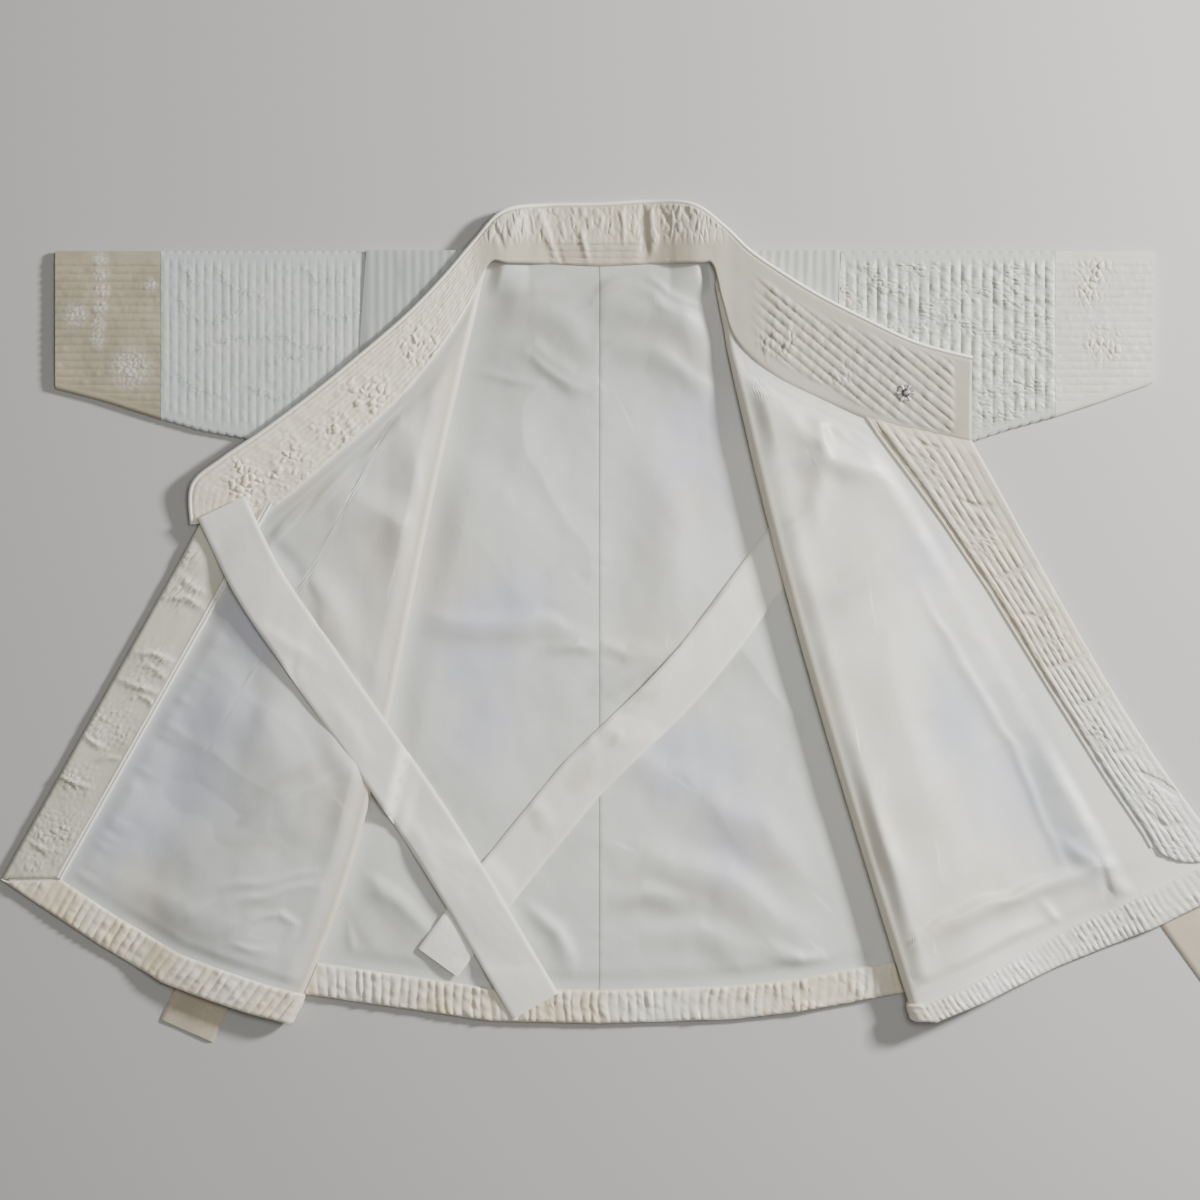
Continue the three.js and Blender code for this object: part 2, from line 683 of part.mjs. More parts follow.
function buildBackHalf(front) {
  const shellRows = backRows(2, 5);
  const shellLow = backGrid(front, BACK_ACROSS, shellRows, 0, () => 0);
  const shellHigh = backGrid(front, BACK_ACROSS, shellRows, 0, () => SHELL_WALL);
  const shell = wallGeometry(shellHigh, shellLow, everyColumn(shellHigh));
  addPiece(`back_${front.side}`, 'outer_satin', shell);

  const rows = backRows(5, 13);
  const short = LINING_SHORT_OF_HEM;
  const at = (base) => (x, y) => base + liningSwell(x, y);
  const liningLow = backGrid(front, BACK_ACROSS, rows, short, at(BACK_LINING_LOW));
  const liningHigh = backGrid(front, BACK_ACROSS, rows, short, at(BACK_LINING_HIGH));
  const lining = wallGeometry(liningHigh, liningLow, everyColumn(liningHigh));
  addPiece(`lining_back_${front.side}`, 'lining_satin', lining);
}

// Visible outer line of a fold at a height of the back
function foldEdgeX(front, y) {
  const frame = foldFrame(front);
  const along = (y - front.foldTop.y) / frame.dy;
  const radius = foldRadius(front, along);
  const reach = foldBow(front, along, frame.length) + radius * (1 - Math.PI / 2) + FACING_OFFSET;
  return (front.foldTop.u + along * frame.du + reach * frame.nu) * front.sign;
}

const HEM_AT_FOLDS = -581;
function buildBackHem() {
  const low = FACING_OFFSET - LINING_OFFSET + BACK_LINING_LOW;
  const margin = 1;
  const columnAt = (t, z) => {
    const rowAt = (rise) => {
      const middleY = HEM_AT_FOLDS + rise;
      const start = foldEdgeX(FRONTS[0], middleY) + margin;
      const end = foldEdgeX(FRONTS[1], middleY) - margin;
      const x = lerp(start, end, t);
      return new THREE.Vector3(x, readTable(BACK_EDGES, 'x', 'hem', x) + rise, z);
    };
    return [HEM_BAND, HEM_BAND / 2, 0].map(rowAt);
  };
  const span = foldEdgeX(FRONTS[1], HEM_AT_FOLDS) - foldEdgeX(FRONTS[0], HEM_AT_FOLDS);
  const halves = 2 * Math.round(span / BODY_PITCH);
  const top = evenSteps(halves).map((t, i) => {
    const rib = i % 2 === 1 ? RIB_HEIGHT : 0;
    return columnAt(t, low + FACING_WALL + rib);
  });
  const stations = [];
  for (let i = 0; i < halves; i += COARSE_STEP) stations.push(i);
  stations.push(halves);
  const inner = stations.map((i) => columnAt(i / halves, low));
  addPiece('hem_facing_back', 'outer_satin', wallGeometry(top, inner, stations));
}

// Sleeves

// One ring of a flattened sleeve, at a distance in from its outer face. The cloth is thicker
// at the rounded edges.
const TOP_STEPS = 4;
const EDGE_WALL_SHARE = 1.6;
function sleeveRing(sleeve, x, inset, rib, steps) {
  const foot = readTable(sleeve.foot, 'x', 'y', x) + inset * EDGE_WALL_SHARE;
  const head = -inset * EDGE_WALL_SHARE;
  const high = SLEEVE_HEIGHT - inset + rib;
  const middle = SLEEVE_HEIGHT / 2;
  const ring = steps.map(({ t, raised }) => {
    const y = lerp(head - EDGE_ROUND, foot + EDGE_ROUND, t);
    return new THREE.Vector3(x, y, high + raised);
  });
  ring.push(new THREE.Vector3(x, foot, middle));
  ring.push(new THREE.Vector3(x, foot + EDGE_ROUND, inset));
  ring.push(new THREE.Vector3(x, head - EDGE_ROUND, inset));
  ring.push(new THREE.Vector3(x, head, middle));
  ring.push(ring[0].clone());
  return ring;
}

// Upper sleeve, its channels running from the top edge to the bottom edge
function buildSleeve(sleeve) {
  const outward = Math.sign(sleeve.armhole);
  const start = sleeve.armhole + outward * SEAM_GAP;
  const end = sleeve.cuffSeam - outward * SEAM_GAP;
  const halves = 2 * sleeve.channels;
  const steps = evenSteps(TOP_STEPS).map((t) => ({ t, raised: 0 }));
  const outer = evenSteps(halves).map((t, i) => {
    const rib = i % 2 === 1 ? RIB_HEIGHT : 0;
    return sleeveRing(sleeve, lerp(start, end, t), 0, rib, steps);
  });
  const stations = [0, halves / 2 - (halves / 2) % 2, halves];
  const inner = stations.map((i) => {
    return sleeveRing(sleeve, lerp(start, end, i / halves), SLEEVE_WALL, 0, steps);
  });
  addPiece(`sleeve_${sleeve.side}`, 'outer_satin', wallGeometry(outer, inner, stations, 'rows'));
}

// Cuff, its channels running round the wrist
const CUFF_SECTIONS = 4;
const CUFF_RIB_HEIGHT = 0.8;
function buildCuff(sleeve) {
  const halves = 2 * sleeve.cuffChannels;
  const raisedSteps = evenSteps(halves).map((t, i) => {
    return { t, raised: i % 2 === 1 ? CUFF_RIB_HEIGHT : 0 };
  });
  const plainSteps = evenSteps(1).map((t) => ({ t, raised: 0 }));
  const sections = evenSteps(CUFF_SECTIONS).map((t) => lerp(sleeve.cuffSeam, sleeve.end, t));
  const outerRings = sections.map((x) => sleeveRing(sleeve, x, 0, 0, raisedSteps));
  const innerRings = sections.map((x) => sleeveRing(sleeve, x, SLEEVE_WALL, 0, plainSteps));
  const columnsOf = (rings) => rings[0].map((_, i) => rings.map((ring) => ring[i]));
  const outer = columnsOf(outerRings);
  const inner = columnsOf(innerRings);
  const stations = [0, ...inner.slice(1).map((_, i) => halves + i)];
  addPiece(`cuff_${sleeve.side}`, 'cuff_satin', wallGeometry(outer, inner, stations, 'columns'));
}

// Collar

function sideOf(x) {
  return x < CENTRE_X ? FRONTS[0] : FRONTS[1];
}

// The collar lies on the surface behind the neck and on the layers of the fronts at each side
function collarMiddle(x, y) {
  const front = sideOf(x);
  const carried = smooth((Math.abs(x - CENTRE_X) - NECK_REST) / NECK_RISE);
  return lerp(FLOOR_MIDDLE, flapMiddle(front, x * front.sign, y), carried);
}

// Gathers of the band behind the neck
const GATHER_PITCH = 13;
const GATHER_HEIGHT = 1.1;
const GATHER_DRIFT = { swing: 2.2, length: 17 };
const NECK_HALF = 80;
const NECK_FADE = 20;
function neckGather(x, across) {
  const near = smooth((NECK_HALF - Math.abs(x - CENTRE_X)) / NECK_FADE);
  const drift = GATHER_DRIFT.swing * Math.sin(x / GATHER_DRIFT.length);
  const wave = Math.cos((2 * Math.PI * x) / GATHER_PITCH + drift);
  return GATHER_HEIGHT * near * wave * Math.sin(Math.PI * clamp01(across));
}

const COLLAR_SAMPLES = [
  { from: 0, to: 7, count: 12 },
  { from: 7, to: 15, count: 26 },
  { from: 15, to: 20, count: 9 },
];
const COLLAR_INSET = 1.6;
function collarSections() {
  const outerLine = COLLAR.map((row) => new THREE.Vector2(row.ox, row.oy));
  const innerLine = COLLAR.map((row) => new THREE.Vector2(row.ix, row.iy));
  const at = (line, place) => {
    const i = Math.min(line.length - 2, Math.floor(place));
    return line[i].clone().lerp(line[i + 1], place - i);
  };
  const places = [0];
  for (const { from, to, count } of COLLAR_SAMPLES) {
    for (let k = 1; k <= count; k += 1) places.push(lerp(from, to, k / count));
  }
  return places.map((place) => {
    const outer = at(outerLine, place);
    const inner = at(innerLine, place);
    inner.lerp(outer, COLLAR_INSET / inner.distanceTo(outer));
    return { outer, inner };
  });
}

function collarPoint(section, across, lift) {
  const plan = section.outer.clone().lerp(section.inner, across);
  return new THREE.Vector3(plan.x, plan.y, collarMiddle(plan.x, plan.y) + lift);
}

function buildCollar() {
  const sections = collarSections();
  const steps = evenSteps(2 * COLLAR_CHANNELS);
  const high = COLLAR_WALL - SHELL_WALL / 2;
  const outer = steps.map((across, i) => sections.map((section) => {
    const rib = i % 2 === 1 ? RIB_HEIGHT : 0;
    const point = collarPoint(section, across, high + rib);
    point.z += neckGather(point.x, across);
    return point;
  }));
  const inner = [0, 0.5, 1].map((across) => {
    return sections.map((section) => collarPoint(section, across, -SHELL_WALL / 2));
  });
  const stations = [0, COLLAR_CHANNELS, 2 * COLLAR_CHANNELS];
  addPiece('collar', 'outer_satin', wallGeometry(outer, inner, stations));
  buildCollarEdge(sections);
}

// White binding along the outer edge of the collar
const EDGE_CROWN = 0.9;
const EDGE_ROUND_OFF = 0.6;
function buildCollarEdge(sections) {
  const beside = sections.map((section, i) => {
    const a = sections[Math.max(0, i - 1)].outer;
    const b = sections[Math.min(sections.length - 1, i + 1)].outer;
    const along = b.clone().sub(a).normalize();
    return new THREE.Vector2(-along.y, along.x);
  });
  const column = (distance, lift) => sections.map((section, i) => {
    const plan = section.outer.clone().addScaledVector(beside[i], distance);
    const z = collarMiddle(section.outer.x, section.outer.y) + lift;
    return new THREE.Vector3(plan.x, plan.y, z);
  });
  const high = COLLAR_WALL - SHELL_WALL / 2;
  const near = SEAM_GAP + 0.1;
  const far = near + COLLAR_EDGE_WIDTH;
  const crown = column((near + far) / 2, high + EDGE_CROWN);
  const outer = [column(near, high), crown, column(far, high - EDGE_ROUND_OFF)];
  const inner = [column(near, -SHELL_WALL / 2), column(far, -SHELL_WALL / 2)];
  addPiece('collar_edge', 'edge_white', wallGeometry(outer, inner, [0, 2]));
}

// Ties

// Top of the back's lining or hem facing
function backSurface(x, y) {
  const bandTop = readTable(BACK_EDGES, 'x', 'hem', x) + HEM_BAND;
  if (y < bandTop + 1) return LEG_LINING_LOW + FACING_WALL + RIB_HEIGHT;
  return BACK_LINING_HIGH + liningSwell(x, y);
}

// Top of the highest cloth under a point, a front's flap where there is one. Past the side
// seam the flap carries its facings.
const FACING_START = 15;
const FACING_RAMP = 20;
const FOLD_MARGIN = 4;
function topSurface(x, y) {
  const front = sideOf(x);
  const u = x * front.sign;
  if (insideFolds(x, y) > FOLD_MARGIN) return backSurface(x, y);
  const facingTop = FACING_OFFSET + FACING_WALL + RIB_HEIGHT;
  const nearEdge = smooth((sideSeamU(front, y) - u - FACING_START) / FACING_RAMP);
  return flapMiddle(front, u, y) + lerp(LINING_OFFSET + LINING_WALL, facingTop, nearEdge);
}

// Cloth drawn over a step bridges it at a limited slope
const DRAPE_RINGS = 4;
const DRAPE_TURNS = 12;
function drapedHeight(surface, x, y) {
  let height = surface(x, y);
  for (let ring = 1; ring <= DRAPE_RINGS; ring += 1) {
    const distance = ring * TIE_REACH;
    const fall = TIE_SLOPE * (distance - TIE_REACH);
    for (let k = 0; k < DRAPE_TURNS; k += 1) {
      const angle = (2 * Math.PI * k) / DRAPE_TURNS;
      const px = x + distance * Math.cos(angle);
      const py = y + distance * Math.sin(angle);
      height = Math.max(height, surface(px, py) - fall);
    }
  }
  return height + SEAM_GAP;
}

const TIE_HEIGHTS = {
  top: (x, y) => drapedHeight(topSurface, x, y) + SEAM_GAP + tieCrossing(x, y),
  back: (x, y) => drapedHeight(backSurface, x, y),
  floor: sewnHeight,
};

// The hidden end of a tie on the surface is sewn to the flap above it
const SEWN_REACH = 26;
const SEWN_FALL = 90;
function sewnHeight(x, y) {
  const front = sideOf(x);
  const tie = TIES.find((item) => item.on === 'floor' && item.name.endsWith(front.side));
  const distance = Math.hypot(x - tie.path[0].x, y - tie.path[0].y);
  const carried = 1 - smooth((distance - SEWN_REACH) / SEWN_FALL);
  const flapLow = flapMiddle(front, x * front.sign, y) - SHELL_WALL / 2 - RIB_HEIGHT;
  return Math.max(0, carried * (flapLow - TIE_WALL - 3 * SEAM_GAP));
}

// The upper tie is lifted where it lies on the end of the other one
const CROSSING = { x: -96, y: -518, reach: 56, ramp: 30 };
function tieCrossing(x, y) {
  const distance = Math.hypot(x - CROSSING.x, y - CROSSING.y);
  const lift = TIE_WALL + 3 * SEAM_GAP;
  return lift * smooth((CROSSING.reach + CROSSING.ramp - distance) / CROSSING.ramp);
}

function tieSections(tie) {
  const points = tie.path.map((p) => new THREE.Vector3(p.x, p.y, 0));
  const curve = new THREE.CatmullRomCurve3(points, false, 'centripetal');
  const count = Math.round(curve.getLength() / TIE_STEP);
  return evenSteps(count).map((t) => ({
    middle: curve.getPointAt(t),
    along: curve.getTangentAt(t),
  }));
}

function buildTie(tie) {
  const sections = tieSections(tie);
  const heightAt = TIE_HEIGHTS[tie.on];
  const column = (share, lift) => sections.map(({ middle, along }) => {
    const side = (share * tie.width) / 2;
    const x = middle.x - along.y * side;
    const y = middle.y + along.x * side;
    return new THREE.Vector3(x, y, heightAt(x, y) + lift);
  });
  const shares = tie.on === 'floor' ? [-1, 1] : [-1, 0, 1];
  const low = shares.map((share) => column(share, 0));
  const high = shares.map((share) => column(share, TIE_WALL));
  addPiece(tie.name, 'tie_silk', wallGeometry(high, low, everyColumn(high)));
}

// Snap fastener on the right end of the collar
const SNAP_PROFILE = [
  { share: 0, rise: 0 },
  { share: 1, rise: 0 },
  { share: 1, rise: 0.3 },
  { share: 0.8, rise: 0.42 },
  { share: 0.45, rise: 0.42 },
  { share: 0.36, rise: 0.95 },
  { share: 0.22, rise: 1 },
  { share: 0, rise: 1 },
];
const SNAP_SIDES = 20;
const SNAP_GAP = 0.7;
function buildSnap() {
  const profile = SNAP_PROFILE.map(({ share, rise }) => {
    return new THREE.Vector2(share * SNAP.radius, rise * SNAP.height);
  });
  const geometry = new THREE.LatheGeometry(profile, SNAP_SIDES);
  geometry.rotateX(Math.PI / 2);
  const lift = COLLAR_WALL - SHELL_WALL / 2 + RIB_HEIGHT + SNAP_GAP;
  geometry.translate(SNAP.x, SNAP.y, collarMiddle(SNAP.x, SNAP.y) + lift);
  addPiece('snap', 'snap_metal', geometry);
}

for (const front of FRONTS) {
  buildBackHalf(front);
  buildFront(front);
}
buildBackHem();
for (const sleeve of SLEEVES) {
  buildSleeve(sleeve);
  buildCuff(sleeve);
}
buildCollar();
TIES.forEach(buildTie);
buildSnap();

// The origin is the middle of the box's underside
const box = new THREE.Box3().setFromObject(jacket);
const middle = box.getCenter(new THREE.Vector3());
jacket.position.set(-middle.x, -middle.y, -box.min.z);

export default jacket;
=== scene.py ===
import math

import bpy
import numpy as np
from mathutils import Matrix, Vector


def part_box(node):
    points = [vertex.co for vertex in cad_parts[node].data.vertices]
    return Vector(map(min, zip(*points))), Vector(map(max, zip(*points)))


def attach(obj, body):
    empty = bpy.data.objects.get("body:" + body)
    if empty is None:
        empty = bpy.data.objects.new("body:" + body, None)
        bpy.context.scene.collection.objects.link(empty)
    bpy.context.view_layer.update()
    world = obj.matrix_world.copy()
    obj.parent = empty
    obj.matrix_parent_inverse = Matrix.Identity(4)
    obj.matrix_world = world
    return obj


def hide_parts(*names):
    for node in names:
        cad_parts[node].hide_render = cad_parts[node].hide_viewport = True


# Quilted hanbok jacket for a small child, laid open on its back, with both fronts turned outward.
# Lengths in the tables are millimetres in the pattern's own place: x to the right, y up towards
# the neck from 0 at the shoulder line, z up from the floor. Every piece is shifted into the CAD
# frame when its mesh is made. Places read off the photograph are pixels of its frame, see seen().
# "left" and "right" are the picture's. A front's own u grows from its side seam to its front edge.

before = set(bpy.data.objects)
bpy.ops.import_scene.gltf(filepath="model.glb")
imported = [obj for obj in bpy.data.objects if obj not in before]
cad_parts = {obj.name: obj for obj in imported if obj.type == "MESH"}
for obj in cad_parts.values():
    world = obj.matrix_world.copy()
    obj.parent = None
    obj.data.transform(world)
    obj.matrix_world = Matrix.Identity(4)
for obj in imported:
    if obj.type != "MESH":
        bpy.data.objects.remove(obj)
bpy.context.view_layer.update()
MM = 0.001
BACK_LOW, BACK_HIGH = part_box("back_left")
SEAM_FOOT_X = -276.0
SHIFT = np.array([BACK_LOW.x / MM - SEAM_FOOT_X, BACK_HIGH.y / MM, 0.0])
ORIGIN_PIXEL, MM_PER_PIXEL = (597, 250), 0.78


# Numbers and noise

def clamp01(t):
    return np.clip(t, 0.0, 1.0)


def smooth(t):
    t = clamp01(t)
    return t * t * (3 - 2 * t)


def lerp(a, b, t):
    return a + (b - a) * t


def table(rows, value):
    """Straight lines through a table's rows of (place, height)."""
    rows = np.array(rows, float)
    return np.interp(value, rows[:, 0], rows[:, 1])


def noise(x, y, seed):
    """Smooth noise from -1 to 1 on a lattice of whole numbers."""
    grid = np.random.default_rng(seed).uniform(-1, 1, (256, 256))
    xi, yi = np.floor(x).astype(int), np.floor(y).astype(int)
    tx, ty = smooth(x - xi), smooth(y - yi)
    at = lambda i, j: grid[(xi + i) % 256, (yi + j) % 256]
    return lerp(lerp(at(0, 0), at(1, 0), tx), lerp(at(0, 1), at(1, 1), tx), ty)


def layered(x, y, seed, octaves=3):
    """Noise of several sizes laid over each other, from -1 to 1."""
    total, weight = 0.0, 0.0
    for k in range(octaves):
        total = total + noise(x * 2 ** k + 17.3 * k, y * 2 ** k + 5.1 * k, seed + k) * 0.5 ** k
        weight += 0.5 ** k
    return total / weight


def to_segment(x0, y0, x1, y1, x, y):
    """Distance to a segment, and how far along it the nearest point lies."""
    length2 = (x1 - x0) ** 2 + (y1 - y0) ** 2
    t = clamp01(((x - x0) * (x1 - x0) + (y - y0) * (y1 - y0)) / length2)
    return np.hypot(x - lerp(x0, x1, t), y - lerp(y0, y1, t)), t


def to_path(path, x, y):
    found = [to_segment(*a, *b, x, y)[0] for a, b in zip(path, path[1:])]
    return np.min(found, axis=0)


def seen(*pixels):
    """Places read off the photograph, in pixels of its frame, as millimetres of the tables."""
    left, top = ORIGIN_PIXEL
    return [((x - left) * MM_PER_PIXEL, (top - y) * MM_PER_PIXEL) for x, y in pixels]


def polygon_area(points):
    p = np.array(points, float)
    q = np.roll(p, -1, axis=0)
    return abs(np.sum(p[:, 0] * q[:, 1] - q[:, 0] * p[:, 1])) / 2 * MM * MM


# Cloth: thicknesses, heights of the layers above the floor, and the flat pattern's outlines

GAP, SHELL, LINING, FACING, TIE, RIB = 0.3, 2.0, 1.0, 1.4, 1.6, 1.0
PITCH, HEM_BAND = 7.1, 26.0
BACK_LINING_LOW = SHELL + GAP
BACK_LINING_HIGH = BACK_LINING_LOW + LINING
LEG_LINING_LOW = BACK_LINING_HIGH + GAP
LEG_MIDDLE = LEG_LINING_LOW + LINING + GAP + SHELL / 2
FLAT_RADIUS = (SHELL + 2 * RIB + GAP) / 2
FLOOR_MIDDLE = SHELL / 2
LINING_OFFSET = SHELL / 2 + GAP
FACING_OFFSET = LINING_OFFSET + LINING + GAP

CENTRE_X, UNDERARM_Y, UNDER_COLLAR = 2.0, -153.0, 9.0
SIDE_FOOT_Y, BACK_FOOT_Y = -573.0, -604.0
BACK_NECK = [(-276, 0), (-98, 0), (-84, -11.6), (2, -13.4), (96, -11.6), (112, 0), (278, 0)]
BACK_HEM = [
    (-276, -573), (-228, -581), (-181, -588), (-138, -594), (-98, -600), (-84, -602),
    (2, -604), (96, -601), (112, -600), (158, -595), (233, -581), (278, -573),
]
# Width, what the tie lies on, and its middle line.
TIES = {
    "tie_inner_left": (41, "top", [
        (-292, -201), (-271, -246), (-218, -326), (-169, -396), (-117, -474), (-76, -542),
        (-48, -590)]),
    "tie_inner_right": (38, "back", [
        (181, -186), (141, -239), (109, -282), (80, -320), (52, -351), (26, -376), (-9, -410),
        (-40, -447), (-77, -493), (-105, -530), (-124, -556)]),
    "tie_outer_left": (45, "floor", [
        (-236, -246), (-256, -350), (-277, -450), (-294, -530), (-308, -580), (-321, -610)]),
    "tie_outer_right": (45, "floor", [
        (287, -190), (318, -270), (362, -360), (408, -440), (463, -519), (494, -562)]),
}


class Front:
    """One front as a flat panel, folded over along the slanted line from top to foot.

    It has three stretches: the leg on the back, the bend of the fold, and the flap with its
    lining up. bow and peak curve the fold line, puff widens the bend, rise lifts the leg, and
    over the width settle the flap comes down from the bend. narrow draws the facing's inner
    line towards the front edge.
    """

    def __init__(self, side, sign, armhole, seam_foot, edge, facing, flare, top, foot, bow,
                 peak, puff, rise, settle, narrow, neck, hem):
        self.side, self.sign, self.armhole, self.seam_foot = side, sign, armhole, seam_foot
        self.edge, self.facing, self.flare, self.top, self.foot = edge, facing, flare, top, foot
        self.bow, self.peak, self.puff, self.rise, self.settle = bow, peak, puff, rise, settle
        self.narrow, self.neck, self.hem = narrow, neck, hem
        du, dy = foot[0] - top[0], foot[1] - top[1]
        self.length = math.hypot(du, dy)
        self.du, self.dy = du / self.length, dy / self.length
        self.nu, self.ny = -self.dy, self.du

    def axes(self, u, y):
        """Place along the fold line, and across it towards the front edge."""
        ru, ry = u - self.top[0], y - self.top[1]
        return ru * self.du + ry * self.dy, ru * self.nu + ry * self.ny

    def side_seam(self, y):
        t = clamp01((UNDERARM_Y - y) / (UNDERARM_Y - SIDE_FOOT_Y))
        return lerp(self.armhole, self.seam_foot, t)

    def leg_middle(self, y):
        return LEG_MIDDLE + self.rise * smooth((-90 - y) / 60)

    def tie_swell(self, u, y):
        """The flap lies higher over the outer tie."""
        width, _, path = TIES["tie_outer_" + self.side]
        distance = to_path(path, u * self.sign, y)
        return (TIE + 3 * GAP) * smooth((width / 2 + 42 - distance) / 40)

    def flap_middle(self, u, y):
        """Height of the settled flap: on the leg near the side seam, on the floor past it."""
        high = self.leg_middle(y) + 2 * FLAT_RADIUS
        past = smooth((self.side_seam(y) - u) / 100)
        below = smooth((-155 - y) / 100)
        return lerp(high, FLOOR_MIDDLE + self.tie_swell(u, y), past * below)

    def radius(self, along):
        return FLAT_RADIUS + self.puff * smooth(along / 130)

    def fold_bow(self, along):
        power = math.log(0.5) / math.log(self.peak)
        return self.bow * np.sin(np.pi * clamp01(along / self.length) ** power)

    def place(self, u, y, offset):
        """Folded place of flat points, at an offset towards the lining."""
        along, across = self.axes(u, y)
        radius = self.radius(along)
        half = np.pi * radius / 2
        leg, bow = self.leg_middle(y), self.fold_bow(along)
        leg_width = lerp(96, 34, clamp01(along / self.length))
        in_leg = across + bow * (1 - smooth((-across - half) / leg_width))
        angle = np.clip(across / radius, -np.pi / 2, np.pi / 2)
        in_bend = -half + (radius + offset) * np.cos(angle) + bow
        in_flap = bow * (1 - smooth((across - half) / 140)) - across
        flat = np.select([across <= -half, across < half], [in_leg, in_bend], in_flap)
        pu = self.top[0] + along * self.du + flat * self.nu
        py = self.top[1] + along * self.dy + flat * self.ny
        settled = smooth((across - half) / self.settle)
        flap_z = lerp(leg + 2 * radius, self.flap_middle(pu, py), settled) + offset
        bend_z = leg + radius + (radius + offset) * np.sin(angle)
        z = np.select([across <= -half, across < half], [leg - offset, bend_z], flap_z)
        return np.stack([pu * self.sign, py, z], axis=-1)

    def fold_rise(self, u, y):
        """How far the puffed fold holds the flap above its settled height, at a placed point."""
        along, inward = self.axes(u, y)
        across, radius = self.fold_bow(along) - inward, self.radius(along)
        held = 1 - smooth((across - np.pi * radius / 2) / self.settle)
        return 2 * (radius - FLAT_RADIUS) * held * smooth((across + 4) / 8)

    def flared(self, u, y):
        """The front edge swings out towards the foot."""
        share = clamp01((u - self.facing) / (self.edge - self.facing))
        drop = clamp01((-420 - y) / 215)
        return u + self.flare * share * drop ** 2

    def facing_u(self, u, y):
        """Flat place of the facing's cloth, whose inner line nears the edge towards the foot."""
        share = clamp01((self.edge - u) / (self.edge - self.facing))
        return self.flared(u, y) + share * table(self.narrow, y)

    def rows(self, u, leg, bend, flap, hem):
        """Heights of rows down flat columns: leg, bend, flap to the hem band, hem band."""
        u = np.asarray(u, float)
        seam = lerp(UNDERARM_Y, SIDE_FOOT_Y,
                    (self.armhole - u) / (self.armhole - self.seam_foot))
        under = table(self.neck, u - 12) + UNDER_COLLAR
        head = np.where(u <= self.armhole, seam, np.minimum(0, under))
        foot = table(self.hem, u)
        level = lambda across: self.top[1] + (across - (u - self.top[0]) * self.nu) / self.ny
        at = lambda across: np.clip(level(across), foot, head)
        chord = table([self.neck[0], self.neck[-1]], u) + UNDER_COLLAR
        crossing_y = self.top[1] - (u - self.top[0]) * self.nu / self.ny
        crossing = (u - self.top[0]) * self.du + (crossing_y - self.top[1]) * self.dy
        half = np.pi * self.radius(crossing) / 2
        band = np.minimum(at(half), foot + HEM_BAND)
        parts = [lerp(head, at(-half), k / leg) for k in range(leg)]
        parts += [at(lerp(-half, half, k / bend)) for k in range(bend)]
        start = np.clip(np.minimum(level(half), np.maximum(chord, head)), foot, None)
        parts += [np.minimum(lerp(start, band, k / flap), head) for k in range(flap)]
        parts += [lerp(band, foot, k / hem) for k in range(hem + 1)]
        return np.stack(parts, axis=1)

    def below_neck(self, u, y):
        """Distance down from the neck line, below zero where the cloth is under the collar."""
        distance = to_path(self.neck, u, y)
        return np.where(y < table(self.neck, u), distance, -distance)

    def under_collar(self, u, y):
        return smooth((5 - self.below_neck(u, y)) / 6) * (u > self.armhole)

    def outline(self):
        side = [(self.armhole, UNDERARM_Y), (self.armhole, 0)]
        return side + list(self.neck) + list(reversed(self.hem))


LEFT = Front(
    "left", 1, armhole=-181, seam_foot=-276, edge=11, facing=-29, flare=0,
    top=(-85, -9), foot=(-240, -602), bow=16, peak=0.72, puff=0, rise=0, settle=20,
    narrow=[(0, 0)],
    neck=[(-99, 0), (-91.9, -28), (-88.4, -88), (-81.3, -122), (-67.1, -170), (-52.9, -210),
          (-42.3, -241), (-28, -279), (11, -309)],
    hem=[(-276, -578), (-240, -603), (-210, -611), (-169, -619), (-138, -624), (-82, -623),
         (-26, -619), (11, -616)])
RIGHT = Front(
    "right", -1, armhole=-190, seam_foot=-278, edge=16, facing=-40, flare=19,
    top=(-90, -9), foot=(-246, -599), bow=11, peak=0.4, puff=2.4, rise=2.6, settle=80,
    narrow=[(-563, 24), (-513, 20), (-428, 16), (-340, 13), (-275, 8.5), (-190, 0)],
    neck=[(-111.8, 0), (-104.7, -50), (-101.2, -97), (-86.9, -117), (-62.1, -155),
          (-37.3, -189), (16, -237)],
    hem=[(-278, -578), (-247, -599), (-232, -609), (-191, -615), (-126, -621), (-52, -631),
         (16, -637)])
FRONTS = [LEFT, RIGHT]


def by_side(x, left, right):
    return np.where(x < CENTRE_X, left, right)


def inside_folds(x, y):
    """Distance in from the two fold lines, above zero where the back shows."""
    found = []
    for front in FRONTS:
        along, across = front.axes(x * front.sign, y)
        found.append(across - front.fold_bow(along))
    return np.minimum(*found)


def flap_at(x, y):
    return by_side(x, LEFT.flap_middle(x, y), RIGHT.flap_middle(-x, y))


# Meshes

def weld(points, faces):
    """One vertex for each place, and no empty faces."""
    keys = np.round(points / 2e-6).astype(np.int64)
    _, first, index = np.unique(keys, axis=0, return_index=True, return_inverse=True)
    faces = index.reshape(-1)[faces]
    a, b, c = faces.T
    faces = faces[(a != b) & (b != c) & (c != a)]
    used, faces = np.unique(faces, return_inverse=True)
    return first[used], faces.reshape(-1, 3)


